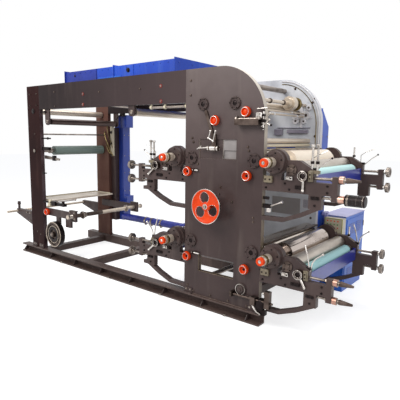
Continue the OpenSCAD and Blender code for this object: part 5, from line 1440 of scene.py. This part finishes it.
# ---------------------------------------------------------------- hood, guards and cabinet
def dress_hood():
    """Seams, rivets, knobs, strip, handles and louvres of the drying hood."""
    x0, x1, y0 = -2.448, -0.658, 0.45
    trim = Form()
    for side in (-1, 1):
        trim.block((x0 + 0.01, side * y0, 2.012), (x1 - 0.01, side * (y0 + 0.008), 2.021), 0.002)
        for x in (-1.86, -1.25):
            trim.block((x - 0.006, side * y0, 2.02), (x + 0.006, side * (y0 + 0.006), 2.338), 0.002)
    trim.done("hood_seams", HOOD_BLUE)
    rivets = [((x0 + 0.09 + 0.1 * i, side * y0, z), (0, side, 0), 1.0) for i in range(17) for side in (-1, 1)
        for z in (2.045, 2.315)]
    rivets += [((x, y, z), (s, 0, 0), 1.0) for x, s in ((x0, -1), (x1, 1)) for y in (-0.4, -0.2, 0, 0.2, 0.4)
        for z in (2.045, 2.31)]
    CAP_SCREWS.grow("hood_rivets", rivets, (0.0065, 0.004), HOOD_BLUE)
    knob = Form()
    knob.turn((-1.328, -0.45, 2.284), FRONT, [(0, 0), (0.024, 0), (0.024, 0.004), (0.012, 0.006),
        (0.012, 0.012), (0.019, 0.0125), (0.019, 0.0135), (0, 0.0138)])
    knob.turn((-2.256, -0.45, 2.288), FRONT, [(0, 0), (0.014, 0), (0.014, 0.004), (0.008, 0.008), (0, 0.009)])
    knob.done("hood_knobs", BLACK_OXIDE)
    Form().block((-1.816, -0.459, 2.222), (-1.44, -0.45, 2.236), 0.002).done("hood_strip", LIGHT_BLUE)
    lid = Form()
    for x in (-2.3, -1.1):
        lid.bent([(x - 0.06, -0.12, 2.339), (x - 0.06, -0.12, 2.362), (x - 0.045, -0.12, 2.372),
            (x + 0.045, -0.12, 2.372), (x + 0.06, -0.12, 2.362), (x + 0.06, -0.12, 2.339)], 0.006)
    lid.done("hood_handles", BRIGHT)
    PAD_GRIDS.grow("hood_louvres", [((x, 0.15, 2.341), UP, 1.0) for x in (-2.15, -1.55, -0.95)],
        (0.05, 0.022, 4, 8, 0.036, 0.007, 0.006), DEEP_BLUE)


def dress_guards():
    """Seams, screws and louvres of the drive side guards."""
    y = 0.755
    seams = Form()
    for x in (-0.136, 0.134):
        seams.block((x - 0.005, y, 0.16), (x + 0.005, y + 0.003, 1.71), 0.001)
    for z in (0.62, 1.18):
        seams.block((-0.4, y, z - 0.005), (0.4, y + 0.003, z + 0.005), 0.001)
    seams.block((-0.404, 0.58, 1.894), (0.404, 0.6, 1.899), 0.001)
    for side in (-1, 1):
        seams.block((side * 0.406, 0.6, 0.62), (side * 0.409, 0.755, 0.63), 0.001)
        seams.block((side * 0.406, 0.6, 1.18), (side * 0.409, 0.755, 1.19), 0.001)
    seams.block((-2.8, 0.78, 0.36), (-2.792, 0.783, 1.87), 0.001)
    seams.block((-2.844, 0.78, 1.06), (-2.662, 0.783, 1.068), 0.001)
    seams.done("guard_seams", LIGHT_BLUE)
    screws = [((x, y, z), BACK, 1.0) for x in (-0.38, -0.15, 0.15, 0.38)
        for z in (0.19, 0.5, 0.75, 1.05, 1.3, 1.6, 1.69)]
    screws += [((side * 0.406, yy, z), (side, 0, 0), 1.0) for side in (-1, 1) for yy in (0.6, 0.73)
        for z in (0.19, 0.55, 0.7, 1.1, 1.25, 1.62)]
    screws += [((-2.662, yy, z), ALONG, 1.0) for yy in (0.67, 0.76) for z in (0.78, 1.05, 1.3, 1.6)]
    screws += [((x, 0.78, z), BACK, 1.0) for x in (-2.82, -2.69) for z in (0.4, 0.72, 1.03, 1.35, 1.65, 1.85)]
    CAP_SCREWS.grow("guard_screws", screws, (0.0075, 0.0045), BRIGHT)
    PAD_GRIDS.grow("guard_louvres", [((0.0, y + 0.001, 0.4), BACK, 1.0), ((0.0, y + 0.001, 1.5), BACK, 1.0)],
        (0.028, 0.06, 6, 2, 0.008, 0.046, 0.007), DEEP_BLUE)
    clamps = Form()
    for x in (-2.18, -2.06, -1.88, -0.66):
        clamps.sleeve((x - 0.015, TUBE_Y, TUBE_Z), ALONG, 0.0498, 0.0545, 0.03, 36)
        clamps.block((x - 0.012, 0.62, 0.335), (x + 0.012, 0.64, 0.352), 0.002)
    clamps.done("tube_clamps", BRIGHT)
    bolts = [((x, TUBE_Y - 0.0545, TUBE_Z), FRONT, 1.0) for x in (-2.18, -2.06, -1.88, -0.66)]
    bolts += [((-1.458, 0.5935, TUBE_Z + dz), FRONT, 0.8) for dz in (-0.015, 0.015)]
    HEX_BOLTS.grow("tube_clamp_bolts", bolts, (0.01, 0.008, 0.013), POLISHED)


def dress_cabinet():
    """Pale lid, door, hinges, handle and louvres of the cabinet, and the control box's panel."""
    x0, x1, y0, y1, h = 0.418, 0.668, 0.705, 1.265, 0.8
    Form().slab(rect(x0 - 0.004, y0 - 0.006, x1 + 0.006, y1 + 0.006), "xy", h, h + 0.008,
        0.002).done("cabinet_lid", LAVENDER)
    door = Form()
    door.slab(rect(y0 + 0.03, 0.06, y1 - 0.03, 0.77), "yz", x1, x1 + 0.006, 0.0025)
    door.slab(rect(x0 + 0.03, 0.06, x1 - 0.03, 0.56), "xz", y0, y0 - 0.005, 0.002)
    door.slab(rect(x0 + 0.03, 0.06, x1 - 0.03, 0.77), "xz", y1, y1 + 0.005, 0.002)
    door.done("cabinet_door", LIGHT_BLUE)
    trim = Form()
    for z in (0.16, 0.67):
        trim.rod((x1 + 0.008, y1 - 0.032, z - 0.03), (x1 + 0.008, y1 - 0.032, z + 0.03), 0.007)
    trim.block((x1 + 0.006, y0 + 0.05, 0.4), (x1 + 0.011, y0 + 0.078, 0.48), 0.002)
    trim.rod((x1 + 0.011, y0 + 0.064, 0.44), (x1 + 0.02, y0 + 0.064, 0.44), 0.009)
    trim.done("cabinet_fittings", BRIGHT)
    PAD_GRIDS.grow("cabinet_louvres", [((x1 + 0.006, 0.985, 0.18), ALONG, 1.0),
        ((x1 + 0.006, 0.985, 0.66), ALONG, 1.0)], (0.02, 0.2, 6, 2, 0.007, 0.15, 0.008), BLUE)
    panel, edge, key = Form(), Form(), Form()
    bx0, bx1, bz0, bz1, by = 0.478, 0.668, 0.602, 0.792, 0.615
    panel.slab(rect(bx0 + 0.01, bz0 + 0.01, bx1 - 0.01, bz1 - 0.01), "xz", by, by - 0.003, 0.001)
    panel.done("control_panel", BOX_GREY)
    for a, b in (((bx0, by - 0.003, bz0), (bx1, by, bz0 + 0.008)),
            ((bx0, by - 0.003, bz1 - 0.008), (bx1, by, bz1)),
            ((bx0, by - 0.003, bz0), (bx0 + 0.008, by, bz1)),
            ((bx1 - 0.008, by - 0.003, bz0), (bx1, by, bz1))):
        edge.block(a, b, 0.001)
    edge.done("control_box_edges", OLIVE_YELLOW)
    key.block((0.556, by - 0.014, 0.63), (0.566, by - 0.003, 0.676), 0.001)
    key.sleeve((0.561, by - 0.003, 0.653), FRONT, 0.004, 0.014, 0.005, 20)
    key.done("control_switch", BLACK_PLASTIC)
    places = [(0.512 + 0.036 * i, 0.695 + 0.034 * j) for i in range(4) for j in range(3)]
    spots = [((x, by - 0.003, z), FRONT, 1.0) for x, z in places]
    CAP_SCREWS.grow("red_buttons", spots[0::3], (0.0066, 0.007), RED_BUTTON)
    CAP_SCREWS.grow("green_buttons", spots[1::3], (0.0066, 0.007), GREEN_BUTTON)
    CAP_SCREWS.grow("orange_buttons", spots[2::3], (0.0066, 0.007), ORANGE)
    trunk = Form()
    trunk.block((0.436, 0.68, 0.64), (0.478, 0.705, 0.83), 0.004)
    trunk.block((0.42, 0.66, 0.8), (0.46, 0.76, 0.835), 0.004)
    trunk.done("cable_trunk", LAVENDER)


make_camera()
make_studio()
dress_frame()
fasten_frame()
trim_rails()
dress_knobs()
dress_handwheel()
dress_shaft_ends()
dress_journal_caps()
dress_tower_rings()
for number in STATIONS:
    dress_station(number)
dress_screw_ends()
dress_windows()
dress_edge_guide()
dress_rear_plate()
dress_infeed()
dress_tension_wheel()
dress_hood()
dress_guards()
dress_cabinet()
